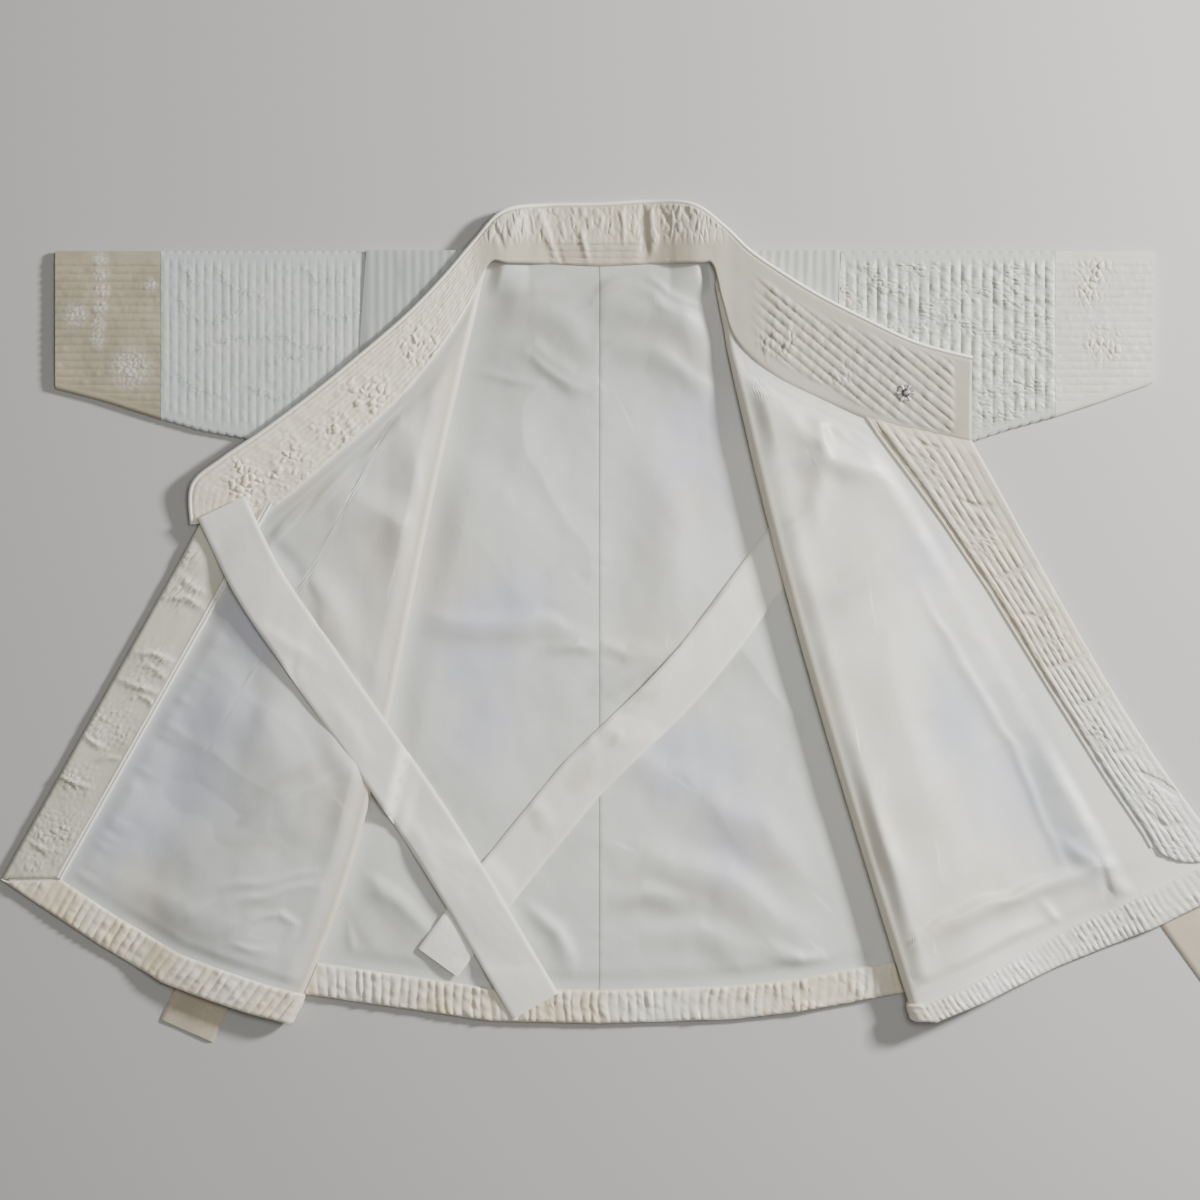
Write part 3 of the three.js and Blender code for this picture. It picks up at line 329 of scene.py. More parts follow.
def make_mesh(name, points, faces, flat, tint, material, sharp=50):
    first, faces = weld(points, faces)
    points = points[first]
    a, b, c = points[faces[:, 0]], points[faces[:, 1]], points[faces[:, 2]]
    if np.einsum("ij,ij->", a, np.cross(b, c)) < 0:
        faces = faces[:, ::-1]
    mesh = bpy.data.meshes.new(name)
    mesh.vertices.add(len(points))
    mesh.vertices.foreach_set("co", points.astype(np.float32).ravel())
    mesh.loops.add(faces.size)
    mesh.loops.foreach_set("vertex_index", faces.astype(np.int32).ravel())
    mesh.polygons.add(len(faces))
    mesh.polygons.foreach_set("loop_start", np.arange(0, faces.size, 3, dtype=np.int32))
    mesh.update(calc_edges=True)
    mesh.shade_smooth()
    mesh.set_sharp_from_angle(angle=math.radians(sharp))
    place = mesh.attributes.new("flat", "FLOAT_VECTOR", "POINT")
    place.data.foreach_set("vector", flat[first].astype(np.float32).ravel())
    colour = mesh.attributes.new("tint", "FLOAT_COLOR", "POINT")
    shades = np.ones((len(first), 4), np.float32)
    shades[:, :3] = tint[first]
    colour.data.foreach_set("color", shades.ravel())
    mesh.materials.append(material)
    piece = bpy.data.objects.new(name, mesh)
    bpy.context.scene.collection.objects.link(piece)
    return piece


def grid_faces(index):
    a, b, c, d = index[:-1, :-1], index[:-1, 1:], index[1:, 1:], index[1:, :-1]
    return np.concatenate([np.stack(t, -1).reshape(-1, 3) for t in ((a, b, c), (a, c, d))])


def rim_faces(fine, coarse, stations):
    """Band between a fine edge and a coarse one, whose point k lies behind stations[k]."""
    faces = []
    for k in range(len(coarse) - 1):
        for i in range(stations[k], stations[k + 1]):
            faces.append((coarse[k], fine[i], fine[i + 1]))
        faces.append((coarse[k], fine[stations[k + 1]], coarse[k + 1]))
    return faces


def strides(count, step):
    return sorted(set(list(range(0, count, step)) + [count - 1]))


def wall(name, outer, inner, steps, flat, tint, material, closed="none"):
    """Closed cloth: a fine outer grid over a coarser inner one, joined round its edges.

    The inner grid is thinned to every few columns and rows, by the two steps.
    """
    n, m = outer.shape[:2]
    cols, rows = strides(n, steps[0]), strides(m, steps[1])
    pick = np.ix_(cols, rows)
    fine = np.arange(n * m).reshape(n, m)
    coarse = n * m + np.arange(len(cols) * len(rows)).reshape(len(cols), len(rows))
    faces = [grid_faces(fine), grid_faces(coarse)[:, ::-1]]
    if closed != "rows":
        faces.append(rim_faces(fine[:, 0], coarse[:, 0], cols))
        faces.append(np.array(rim_faces(fine[:, -1], coarse[:, -1], cols))[:, ::-1])
    if closed != "columns":
        faces.append(np.array(rim_faces(fine[0], coarse[0], rows))[:, ::-1])
        faces.append(rim_faces(fine[-1], coarse[-1], rows))
    points = np.concatenate([outer.reshape(-1, 3), inner[pick].reshape(-1, 3)])
    spots = np.concatenate([flat.reshape(-1, 3), flat[pick].reshape(-1, 3)])
    tints = np.concatenate([tint.reshape(-1, 3), tint[pick].reshape(-1, 3)])
    return make_mesh(name, (points + SHIFT) * MM, np.concatenate(faces), spots, tints, material)


def spots_of(a, b):
    """Flat places for the weave of the cloth."""
    return np.stack([a, b, np.zeros_like(a)], axis=-1)


def even(colour, like):
    return np.broadcast_to(np.array(colour, float), like.shape[:2] + (3,)).copy()


# Quilting and folds

def quilt(across, along, pitch, height, seed, crinkle=0.4, wander=0.03):
    """Padded channels with drawn-in seams and small puckers, from 0 at a seam."""
    phase = across / pitch + wander * noise(along / 31, across / 40, seed)
    puff = np.abs(np.sin(np.pi * phase)) ** 0.65
    tuck = layered(phase * 0.9 + 3, along / 5.5, seed + 3, 2)
    fine = noise(phase * 2.1, along / 2.3, seed + 9)
    return height * puff * (1 + crinkle * tuck) + 0.12 * crinkle * fine


def warped(x, y, seed, reach=7.0, span=55.0):
    """Places pushed about a little, so that drawn marks don't look drawn."""
    return (x + reach * layered(x / span, y / span, seed),
            y + reach * layered(x / span, y / span, seed + 7))


def crease(path, width, height, x, y, lean=0.0):
    """Ridge along a drawn line, or a valley where the height is below zero. It fades out at
    both ends, and lean makes the side on the right of the line broader."""
    best = np.full(x.shape, np.inf)
    shade = np.zeros(x.shape)
    steps = [math.dist(a, b) for a, b in zip(path, path[1:])]
    total, run = sum(steps), 0.0
    for (x0, y0), (x1, y1), step in zip(path, path[1:], steps):
        distance, t = to_segment(x0, y0, x1, y1, x, y)
        side = ((x - x0) * (y1 - y0) - (y - y0) * (x1 - x0)) > 0
        wide = width * np.where(side, 1 + lean, 1.0)
        place = (run + t * step) / total
        fade = np.sin(np.pi * clamp01(0.06 + 0.88 * place)) ** 0.8
        value = fade * np.exp(-(distance / wide) ** 2)
        shade = np.where(distance < best, value, shade)
        best = np.minimum(best, distance)
        run += step
    return height * shade


def creases(folds, x, y, seed=5, reach=7.0):
    wx, wy = warped(x, y, seed, reach)
    total = np.zeros(x.shape)
    for pixels, width, height, lean in folds:
        total += crease(seen(*pixels), width, height, wx, wy, lean)
    return total


def crumple(x, y, seed, size):
    """Small puckers: swollen cells of uneven height with sharp creases between, 0 to 1."""
    wx, wy = warped(x, y, seed, size * 0.5, size * 1.6)
    wx, wy = wx / size, wy / size
    ix, iy = np.floor(wx).astype(int), np.floor(wy).astype(int)
    cells = np.random.default_rng(seed).uniform(0.08, 0.92, (64, 64, 3))
    nearest, second = np.full(x.shape, 9.0), np.full(x.shape, 9.0)
    swollen = np.zeros(x.shape)
    for i in (-1, 0, 1):
        for j in (-1, 0, 1):
            cell = cells[(ix + i) % 64, (iy + j) % 64]
            off = np.hypot(wx - ix - i - cell[..., 0], wy - iy - j - cell[..., 1])
            swollen = np.where(off < nearest, 0.25 + 0.75 * cell[..., 2], swollen)
            second = np.minimum(second, np.maximum(nearest, off))
            nearest = np.minimum(nearest, off)
    return swollen * clamp01((second - nearest) * 2.2) ** 0.6


def rumples(x, y, seed, size, stretch=1.5):
    """Long soft ridges with flat valleys between them, from 0 to 1."""
    wx, wy = warped(x, y, seed, size * 0.35, size * 1.6)
    return clamp01(1 - 1.25 * np.abs(noise(wx / size, wy / (size * stretch), seed + 3))) ** 1.6


def spots(places, x, y):
    """Soft round areas: ((x, y) in pixels, radius), the largest value where they meet."""
    total = np.zeros(x.shape)
    for pixel, radius in places:
        px, py = seen(pixel)[0]
        total = np.maximum(total, np.exp(-(((x - px) ** 2 + (y - py) ** 2) / radius ** 2) ** 1.5))
    return total


# Materials

def node(tree, kind, inputs=None, **values):
    made = tree.nodes.new(kind)
    for key, value in values.items():
        setattr(made, key, value)
    for key, value in (inputs or {}).items():
        if isinstance(value, bpy.types.NodeSocket):
            tree.links.new(value, made.inputs[key])
        else:
            made.inputs[key].default_value = value
    return made


def math_node(tree, operation, a, b=0.0):
    return node(tree, "ShaderNodeMath", {0: a, 1: b}, operation=operation).outputs[0]


def cloth_material(name, roughness, sheen, slub, weave=0.45, bump=0.25, coat=0.0, spread=0.05):
    """Woven silk: threads, slubs and uneven dye over the piece's own tints."""
    material = bpy.data.materials.new(name)
    material.use_nodes = True
    tree = material.node_tree
    tree.nodes.clear()
    out = node(tree, "ShaderNodeOutputMaterial")
    flat = node(tree, "ShaderNodeAttribute", attribute_name="flat").outputs["Vector"]
    tint = node(tree, "ShaderNodeAttribute", attribute_name="tint").outputs["Color"]
    place = node(tree, "ShaderNodeSeparateXYZ", {0: flat})
    threads = []
    for axis in (0, 1):
        angle = math_node(tree, "MULTIPLY", place.outputs[axis], 2 * math.pi / weave)
        threads.append(math_node(tree, "SINE", angle))
    cross = math_node(tree, "MULTIPLY", threads[0], threads[1])
    slubs = []
    for scale in ((0.05, 1.1, 1.0), (1.3, 0.06, 1.0)):
        stretched = node(tree, "ShaderNodeMapping", {0: flat, "Scale": scale})
        grain = node(tree, "ShaderNodeTexNoise", {
            "Vector": stretched.outputs[0], "Scale": 1.0, "Detail": 3.0, "Roughness": 0.6})
        slubs.append(grain.outputs["Fac"])
    streak = math_node(tree, "ADD", slubs[0], slubs[1])
    cloud = node(tree, "ShaderNodeTexNoise", {
        "Vector": flat, "Scale": 0.022, "Detail": 4.0, "Roughness": 0.55}).outputs["Fac"]
    shade = math_node(tree, "MULTIPLY_ADD", math_node(tree, "SUBTRACT", streak, 1.0), slub)
    shade.node.inputs[2].default_value = 1.0
    drift = math_node(tree, "MULTIPLY_ADD", math_node(tree, "SUBTRACT", cloud, 0.5), spread)
    drift.node.inputs[2].default_value = 1.0
    value = math_node(tree, "MULTIPLY", shade, drift)
    scaled = node(tree, "ShaderNodeVectorMath", {0: tint, "Scale": value}, operation="SCALE")
    height = math_node(tree, "MULTIPLY_ADD", cross, 0.35)
    tree.links.new(streak, height.node.inputs[2])
    relief = node(tree, "ShaderNodeBump", {
        "Strength": bump, "Distance": 0.0002, "Height": height})
    rough = math_node(tree, "MULTIPLY_ADD", streak, 0.16)
    rough.node.inputs[2].default_value = roughness - 0.16
    shader = node(tree, "ShaderNodeBsdfPrincipled", {
        "Base Color": scaled.outputs[0], "Roughness": rough, "Normal": relief.outputs[0],
        "Sheen Weight": sheen, "Sheen Roughness": 0.4, "Specular IOR Level": 0.5,
        "Coat Weight": coat, "Coat Roughness": 0.35})
    tree.links.new(shader.outputs[0], out.inputs[0])
    return material


def metal_material(name, colour, roughness):
    material = bpy.data.materials.new(name)
    material.use_nodes = True
    tree = material.node_tree
    shader = tree.nodes["Principled BSDF"]
    spot = node(tree, "ShaderNodeTexCoord").outputs["Object"]
    grain = node(tree, "ShaderNodeTexNoise", {
        "Vector": spot, "Scale": 900.0, "Detail": 5.0, "Roughness": 0.65}).outputs["Fac"]
    dark = tuple(0.45 * c for c in colour) + (1.0,)
    blend = node(tree, "ShaderNodeMix", {0: grain, 6: dark, 7: colour + (1.0,)},
                 data_type="RGBA")
    tint = node(tree, "ShaderNodeAttribute", attribute_name="tint")
    sewn = math_node(tree, "MULTIPLY", math_node(tree, "SUBTRACT", 1.0, tint.outputs["Fac"]), 2.6)
    sewn.node.use_clamp = True
    shown = node(tree, "ShaderNodeMix", {0: sewn, 6: blend.outputs[2], 7: tint.outputs["Color"]},
                 data_type="RGBA")
    tree.links.new(shown.outputs[2], shader.inputs["Base Color"])
    tree.links.new(math_node(tree, "SUBTRACT", 1.0, sewn), shader.inputs["Metallic"])
    wear = math_node(tree, "MULTIPLY_ADD", grain, 0.3)
    wear.node.inputs[2].default_value = roughness - 0.1
    tree.links.new(wear, shader.inputs["Roughness"])
    relief = node(tree, "ShaderNodeBump", {"Strength": 0.2, "Distance": 0.0001, "Height": grain})
    tree.links.new(relief.outputs[0], shader.inputs["Normal"])
    return material


SATIN = cloth_material("lining_satin", 0.36, 0.1, 0.08, coat=0.2)
QUILT = cloth_material("outer_satin", 0.44, 0.12, 0.06, coat=0.1)
CUFF = cloth_material("cuff_satin", 0.46, 0.2, 0.06)
SILK = cloth_material("tie_silk", 0.5, 0.2, 0.05, coat=0.12)
WHITE = cloth_material("edge_white", 0.6, 0.1, 0.04)
STEEL = metal_material("snap_metal", (0.36, 0.35, 0.34), 0.4)

# Of these colours, the lilac one stands for a painted reflection, and the warm one and the slate one
# for painted shade.
CREAM, PEARL, COOL = (0.86, 0.765, 0.56), (0.86, 0.865, 0.83), (0.72, 0.80, 0.775)
IVORY, BEIGE, LILAC_REFLECTION = (0.87, 0.85, 0.745), (0.57, 0.515, 0.375), (0.70, 0.71, 0.88)
BRIGHT, WARM_SHADE, SHADE = (0.97, 0.955, 0.88), (0.87, 0.785, 0.62), (0.62, 0.61, 0.565)
SAGE, THREAD, GREIGE = (0.44, 0.53, 0.505), (0.62, 0.58, 0.52), (0.50, 0.44, 0.345)
DUSK, MILK, SAND = (0.78, 0.80, 0.80), (0.98, 0.91, 0.755), (0.66, 0.60, 0.47)
SLATE_SHADE, OLIVE = (0.56, 0.625, 0.655), (0.60, 0.60, 0.475)


# Levels that bring whole pieces to the photograph's tone. A front's shell has its sleeve's too.
LEVEL = {
    "shell left": 0.76, "shell right": 0.95, "fronts' lining": 0.89, "facing right": 0.85,
    "hem right": 0.95, "hem back": 0.93, "sleeve left": 0.82, "sleeve right": 0.66,
    "cuff left": 0.72, "cuff right": 0.75, "collar neck": 0.76, "collar left": 1.0,
    "collar right": 0.58, "back near neck": 0.66, "back below": 0.87,
}


def mixed(tint, colour, share):
    return lerp(tint, np.array(colour, float), clamp01(share)[..., None])


def by_height(y, high, low):
    """One level near the neck and another below it."""
    return lerp(low, high, smooth((y + 170) / 90))[..., None]


def painted_shade_bands(tint, bands, x, y, colour, share):
    """Painted shade: soft long marks of a darker tone along the valleys of folds. They are painted,
    not relief.
    """
    wx, wy = warped(x, y, 5)
    for pixels, width in bands:
        tint = mixed(tint, colour, share * crease(seen(*pixels), width, 1.0, wx, wy, 0.5))
    return tint


def stands_for(piece, slot, *nodes):
    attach(piece, "root")
    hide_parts(*nodes)
    return piece


# Fronts

def below_collar(x, y):
    """Distance down from the collar's inner line, below zero where the cloth is under it."""
    line = [tuple(row[2:]) for row in COLLAR]
    distance = to_path(line, x, y)
    return np.where(y < table(line, x), distance, -distance)


def build_front(front):
    """Quilted shell, then the lining on it, then what is sewn on the lining."""
    side = front.side
    area = polygon_area(front.outline())
    skirt = np.linspace(front.seam_foot, front.armhole, 30)
    body = np.arange(front.edge, front.armhole + 0.9, -PITCH / 4)[::-1]
    u = np.concatenate([skirt, [front.armhole + 0.8], body])
    y = front.rows(u, 14, 12, 72, 8)
    wide = np.broadcast_to(u[:, None], y.shape)
    uf = front.flared(wide, y)
    along, across = front.axes(uf, y)
    half = np.pi * front.radius(along) / 2
    clear = smooth((np.abs(across) - half) / 8)
    low = front.place(uf, y, -SHELL / 2)[..., 2]
    room = np.where(across < 0, RIB, np.minimum(RIB, np.maximum(0, low - TIE - GAP)))
    rib = quilt(front.edge - wide, y, PITCH, 1.0, 21) * room * clear
    rib = rib * np.where(across < 0, 0.5 if side == "left" else 0.8, 1.0)
    outer = front.place(uf, y, -SHELL / 2 - rib)
    inner = front.place(uf, y, SHELL / 2)
    tint = LEVEL["shell " + side] * sleeve_tint(side, outer[..., 0], outer[..., 1])
    shell = wall("padded_front_" + side, outer, inner, (6, 6), spots_of(wide, y), tint, QUILT)
    stands_for(shell, "outer_satin", "front_" + side)

    skirt = np.linspace(front.seam_foot, front.armhole, 52)
    u = np.concatenate([skirt, [front.armhole + 0.8],
                        np.linspace(front.armhole + 2, front.edge - 1, 130)])
    y = front.rows(u, 10, 14, 240, 5)
    y[:, -6:] = lerp(y[:, -6:], y[:, -6:-5], 0.12)
    wide = np.broadcast_to(u[:, None], y.shape)
    uf = front.flared(wide, y)
    swell = front_swell(front, uf, y)
    lies = front.place(uf, y, LINING_OFFSET + LINING)
    along, across = front.axes(uf, y)
    turned = across > np.pi * front.radius(along) / 2
    hidden = np.where(turned, smooth((3 - below_collar(lies[..., 0], lies[..., 1])) / 4), 0)
    swell = swell - 0.9 * np.maximum(front.under_collar(wide, y), hidden)
    outer = front.place(uf, y, LINING_OFFSET + LINING + swell)
    inner = front.place(uf, y, LINING_OFFSET + 0 * y)
    tint = front_tint(front, outer)
    lining = wall("satin_front_" + side, outer, inner, (5, 5), spots_of(wide, y), tint, SATIN)
    stands_for(lining, "lining_satin", "lining_front_" + side)
    build_facing(front)
    build_front_hem(front)


# Folds seen in the lining: places in pixels of the photograph, width and height in millimetres,
# and how much broader the one side is. Below them, marks of painted shade along the valleys with
# a width each, and round areas of painted warm shade and of painted lilac reflection, a radius each.
FRONT_FOLDS = {
    "left": [
        ([(186, 898), (218, 884), (260, 878), (312, 872)], 3.4, 0.6, 0.5),
        ([(193, 914), (238, 898), (276, 889), (318, 884)], 3.4, 0.7, 0.5),
        ([(234, 820), (276, 806), (314, 790), (348, 768)], 3.6, 0.7, 0.6),
        ([(228, 932), (250, 918), (280, 914), (294, 926), (289, 938)], 3.4, 0.7, 0.4),
        ([(231, 946), (252, 950), (272, 951)], 3.2, 0.5, 0.4),
        ([(180, 854), (228, 841), (276, 838), (308, 850)], 9, -0.5, 0.4),
        ([(120, 880), (170, 900), (240, 930)], 12, 1.2, 0.4),
        ([(262, 560), (322, 600), (352, 662)], 15, 1.7, 0.9),
        ([(268, 536), (292, 566), (312, 610)], 6, -1.0, 0.4),
        ([(330, 500), (392, 520), (420, 570)], 13, 1.4, 0.6),
        ([(404, 430), (418, 490), (400, 560)], 10, 1.5, 0.9),
        ([(200, 700), (262, 730), (322, 790)], 17, 1.5, 0.7),
        ([(130, 790), (196, 800), (262, 830)], 14, -0.9, 0.5),
        ([(330, 720), (352, 780), (340, 850)], 9, 1.3, 0.5),
        ([(226, 642), (250, 700), (236, 760)], 11, -0.8, 0.2),
    ],
    "right": [
        ([(770, 388), (800, 430), (846, 462), (884, 480)], 10, 2.4, 0.9),
        ([(792, 470), (824, 456), (870, 474)], 6, 1.2, 0.6),
        ([(824, 396), (822, 424), (826, 452)], 5, 1.7, 0.4),
        ([(822, 452), (818, 486), (806, 520)], 8, 1.4, 0.5),
        ([(800, 600), (838, 596), (880, 560)], 12, 1.1, 0.5),
        ([(922, 582), (946, 628), (985, 700), (1030, 800), (1062, 872)], 3.5, 0.6, 0.5),
        ([(884, 470), (930, 500), (962, 560)], 14, 1.3, 0.7),
        ([(880, 640), (900, 730), (930, 830)], 18, 1.3, 0.9),
        ([(1050, 720), (1084, 790), (1110, 850)], 13, 1.2, 0.6),
        ([(915, 932), (1010, 896), (1094, 870)], 4, 2.4, 1.6),
        ([(1098, 862), (1110, 892), (1128, 930)], 3, -0.8, 0.4),
        ([(1060, 842), (1096, 866), (1140, 862)], 5, 0.8, 0.5),
        ([(1108, 876), (1142, 896), (1176, 900)], 6, 1.0, 0.5),
        ([(860, 760), (880, 840), (918, 920)], 13, 1.5, 0.9),
        ([(960, 960), (1010, 936), (1060, 926)], 7, 0.9, 0.5),
        ([(1040, 905), (1060, 925), (1072, 950)], 4, 0.8, 0.3),
    ],
}
# Painted shade along the valleys of the fronts' lining, a width each.
FRONT_SHADE_BANDS = {
    "left": [
        ([(296, 516), (345, 556), (384, 640)], 13), ([(250, 802), (286, 781), (332, 759)], 5),
        ([(180, 856), (228, 843), (276, 841), (310, 856)], 9),
        ([(212, 918), (260, 902), (300, 906)], 5),
        ([(258, 566), (296, 596), (328, 650)], 8), ([(404, 440), (416, 500), (396, 570)], 9),
        ([(330, 730), (350, 790), (338, 850)], 7), ([(110, 905), (170, 925), (236, 950)], 7),
    ],
    "right": [
        ([(772, 396), (804, 444), (858, 474), (890, 484)], 4.5), ([(826, 400), (826, 452)], 3),
        ([(1094, 862), (1106, 892), (1128, 930)], 4.5), ([(926, 938), (1004, 906), (1090, 880)], 3.5),
        ([(930, 600), (952, 650), (976, 706)], 5), ([(1060, 848), (1100, 872), (1142, 864)], 4.5),
        ([(806, 610), (840, 602), (882, 568)], 8),
    ],
}
# Painted bluish shade along folds of the right flap's lining, a width each.
COOL_SHADE_BANDS = {
    "left": [],
    "right": [
        ([(938, 640), (956, 706), (976, 780)], 15), ([(1018, 700), (1042, 768), (1070, 830)], 16),
        ([(1040, 800), (1076, 850), (1110, 880)], 10),
    ],
}
# Painted warm shade near the folds of the fronts' lining, a radius each.
WARM_SHADE_SPOTS = {
    "left": [((395, 560), 40), ((440, 400), 26), ((330, 640), 34), ((300, 480), 28),
             ((345, 800), 30), ((376, 640), 32), ((150, 900), 22)],
    "right": [((800, 420), 34), ((800, 500), 38), ((830, 600), 46), ((860, 700), 44),
              ((900, 820), 44), ((930, 930), 42), ((870, 560), 40), ((980, 900), 30)],
}
# Painted lilac reflection of the light in the fronts' satin, a radius each.
LILAC_REFLECTIONS = {
    "left": [((170, 780), 48), ((130, 830), 34), ((260, 640), 34), ((210, 720), 40)],
    "right": [((960, 720), 36), ((1010, 800), 40), ((920, 560), 26), ((1060, 850), 24)],
}


def front_swell(front, u, y):
    """How far the lining stands off its flat place: folds, waves and drawn edges."""
    along, across = front.axes(u, y)
    half = np.pi * front.radius(along) / 2
    place = front.place(u, y, LINING_OFFSET + 0 * y)
    x, py = place[..., 0], place[..., 1]
    foot = table(front.hem, u)
    room = smooth((front.facing - 3 - u) / 14) * smooth((y - foot - HEM_BAND - 3) / 10)
    past = smooth((across - half) / 14)
    waves = 0.9 * layered(x / 46, py / 60, 31, 2) + 0.4 * layered(x / 19, py / 26, 35, 2)
    tilt = 0.6 * front.sign * x + 0.8 * py
    waves = waves + 1.3 * rumples(tilt, 0.8 * front.sign * x - 0.6 * py, 33, 58, 2.4)
    folds = 2.3 * creases(FRONT_FOLDS[front.side], x, py)
    edge = (0.5 if front.side == "left" else 1.6) * np.exp(-((across - half - 9) / 10) ** 2)
    wavy = 0.5 * edge * layered(along / 38, across / 90, 39, 2)
    below = np.minimum(front.below_neck(u, y), -y)
    below = np.minimum(below, np.where(across > half, below_collar(x, py), 99))
    room = room * smooth((below - 5) / 9)
    near = room * np.exp(-((u - front.facing + 16) / 13) ** 2)
    pulls = 0.8 * near * layered(y / 9, u / 40, 44, 2)
    beside = room * np.exp(-((below - 11) / 9) ** 2) * smooth((u + 90) / 20)
    down, aside = (x * front.sign - py) / 9, (x * front.sign + py) / 40
    pulls = pulls + 1.1 * beside * layered(down, aside, 46, 2)
    return np.maximum(0, room * past * (folds + 0.7 + waves) + room * (edge + wavy) + pulls)


def front_tint(front, points):
    x, y = points[..., 0], points[..., 1]
    wx, wy = warped(x, y, 47, 20, 60)
    patch = 0.5 + 0.5 * layered(x / 70, y / 70, 41 + front.sign)
    # Painted shade and light: the left flap's lining is darker towards its outer edge, where it tilts
    # away from the light, and the right flap's outer part is lighter, a painted sheen.
    tint = mixed(even(PEARL if front.side == "right" else DUSK, x), COOL, 0.4 * patch)
    if front.side == "left":
        tint = mixed(tint, PEARL, smooth((x + 330) / 190))
    else:
        tint = mixed(tint, BRIGHT, 0.5 * smooth((x - 150) / 90))
    # Painted lilac reflection.
    tint = mixed(tint, LILAC_REFLECTION, 0.75 * spots(LILAC_REFLECTIONS[front.side], wx, wy) * (0.6 + 0.4 * patch))
    # Painted warm shade near the folds.
    tint = mixed(tint, WARM_SHADE, 0.5 * spots(WARM_SHADE_SPOTS[front.side], wx, wy))
    # Painted shade along the fold valleys, grey, then bluish.
    tint = painted_shade_bands(tint, FRONT_SHADE_BANDS[front.side], x, y, SHADE, 0.5)
    tint = painted_shade_bands(tint, COOL_SHADE_BANDS[front.side], x, y, SLATE_SHADE, 0.55)
    # Painted warm shade along the bend of the fold.
    along, across = front.axes(x * front.sign, y)
    rim = np.exp(-((across - front.fold_bow(along)) / 9) ** 2)
    return LEVEL["fronts' lining"] * mixed(tint, WARM_SHADE, 0.7 * rim)


def facing_columns(front, step):
    """The facing's inner line, set on a seam of the quilting, and its columns."""
    body = np.arange(front.edge, front.armhole, -PITCH / 2)[::-1]
    inside = body[np.argmin(np.abs(body - front.facing))]
    start = inside + 2.4 + GAP
    return inside, start, np.linspace(start, front.edge, int((front.edge - start) / step) + 1)


def facing_tint(side, u, y, points):
    patch = 0.5 + 0.8 * layered(u / 30, y / 60, 53)
    if side == "left":
        return mixed(even(OLIVE, y), IVORY, 0.55 * patch + 0.1)
    low = smooth((-290 - points[..., 1]) / 130)
    tint = mixed(mixed(even(CREAM, y), IVORY, patch), SAND, 0.6 * (1 - low))
    tint = mixed(tint, CREAM, 0.6 * spots([((1003, 545), 14), ((1150, 800), 10)],
                                          points[..., 0], points[..., 1]))
    return LEVEL["facing right"] * mixed(tint, DUSK, 0.75 * low)


def mitred(front, y, u, inside, hem):
    """The foot of a facing column moves up along the mitre."""
    share = ((u - inside) / (front.edge - inside))[:, None]
    foot = y[:, -1:]
    band = y[:, -hem - 1:-hem]
    cut = lerp(band, foot, share)
    tail = np.linspace(0, 1, hem + 1)[None, :]
    y[:, -hem - 1:] = lerp(band, cut, tail)
    return y


def build_facing(front):
    side = front.side
    inside, _, u = facing_columns(front, 0.9)
    hem = 10
    y = front.rows(u, 1, 1, 330, hem)[:, 2:]
    if side == "left":
        y = mitred(front, y, u, inside, hem)
    else:
        y = tongue(front, y, u, inside)
    wide = np.broadcast_to(u[:, None], y.shape)
    uf = front.facing_u(wide, y)
    drop = smooth((y[:, :1] - 6 - y) / 24)
    end = smooth((y - y[:, -1:]) / 2.5) ** 0.5
    rim = smooth((front.edge - wide) / 2.5) ** 0.5
    lift = lerp(LINING - 0.3, FACING_OFFSET - LINING_OFFSET + FACING, drop)
    lift = lift * lerp(0.55, 1, end * rim)
    rib = facing_relief(front, wide, y) * drop * end * rim
    outer = front.place(uf, y, LINING_OFFSET + lift + rib)
    inner = front.place(uf, y, LINING_OFFSET + 0.3 + 0 * y)
    tint = facing_tint(side, wide, y, outer)
    piece = wall("facing_cloth_" + side, outer, inner, (6, 6), spots_of(wide, y), tint, QUILT)
    stands_for(piece, "outer_satin", "facing_front_" + side)

    u = np.linspace(inside - 2.2, inside + 2.6, 17)
    y = front.rows(u, 1, 1, 330, 2)[:, 2:-2]
    if side == "right":
        y = lerp(y[:, :1], y[:, -1:] + 30, np.linspace(0, 1, y.shape[1])[None, :])
    wide = np.broadcast_to(u[:, None], y.shape)
    bead = np.abs(np.sin(2 * np.pi * (wide - inside + 2.2) / 4.8)) ** 0.5
    bead = bead * (1 if side == "left" else 0.35)
    twist = 0.14 * np.sin(y * 2 * np.pi / 2.3 + wide * 2)
    drop = smooth((y[:, :1] - 6 - y) / 24)
    lift = lerp(0.8, FACING_OFFSET - LINING_OFFSET + 0.6 + 1.1 * bead + twist * bead, drop)
    outer = front.place(front.facing_u(wide, y), y, LINING_OFFSET + lift)
    inner = front.place(front.facing_u(wide, y), y, LINING_OFFSET + 0 * y)
    tint = even(BRIGHT, y) if side == "left" else facing_tint(side, wide, y, outer)
    piping = wall("piping_cord_" + side, outer, inner, (12, 3), spots_of(wide, y), tint, WHITE)
    stands_for(piping, "edge_white", "piping_front_" + side)


def tongue(front, y, u, inside):
    """The foot of the facing is rounded and ends above the hem's own band."""
    share = clamp01((u - inside) / (front.edge - inside))
    rise = HEM_BAND + 34 * (1 - np.sqrt(1 - (1 - share) ** 2))
    foot = y[:, -1:] + rise[:, None]
    return lerp(y[:, :1], foot, np.linspace(0, 1, y.shape[1])[None, :])


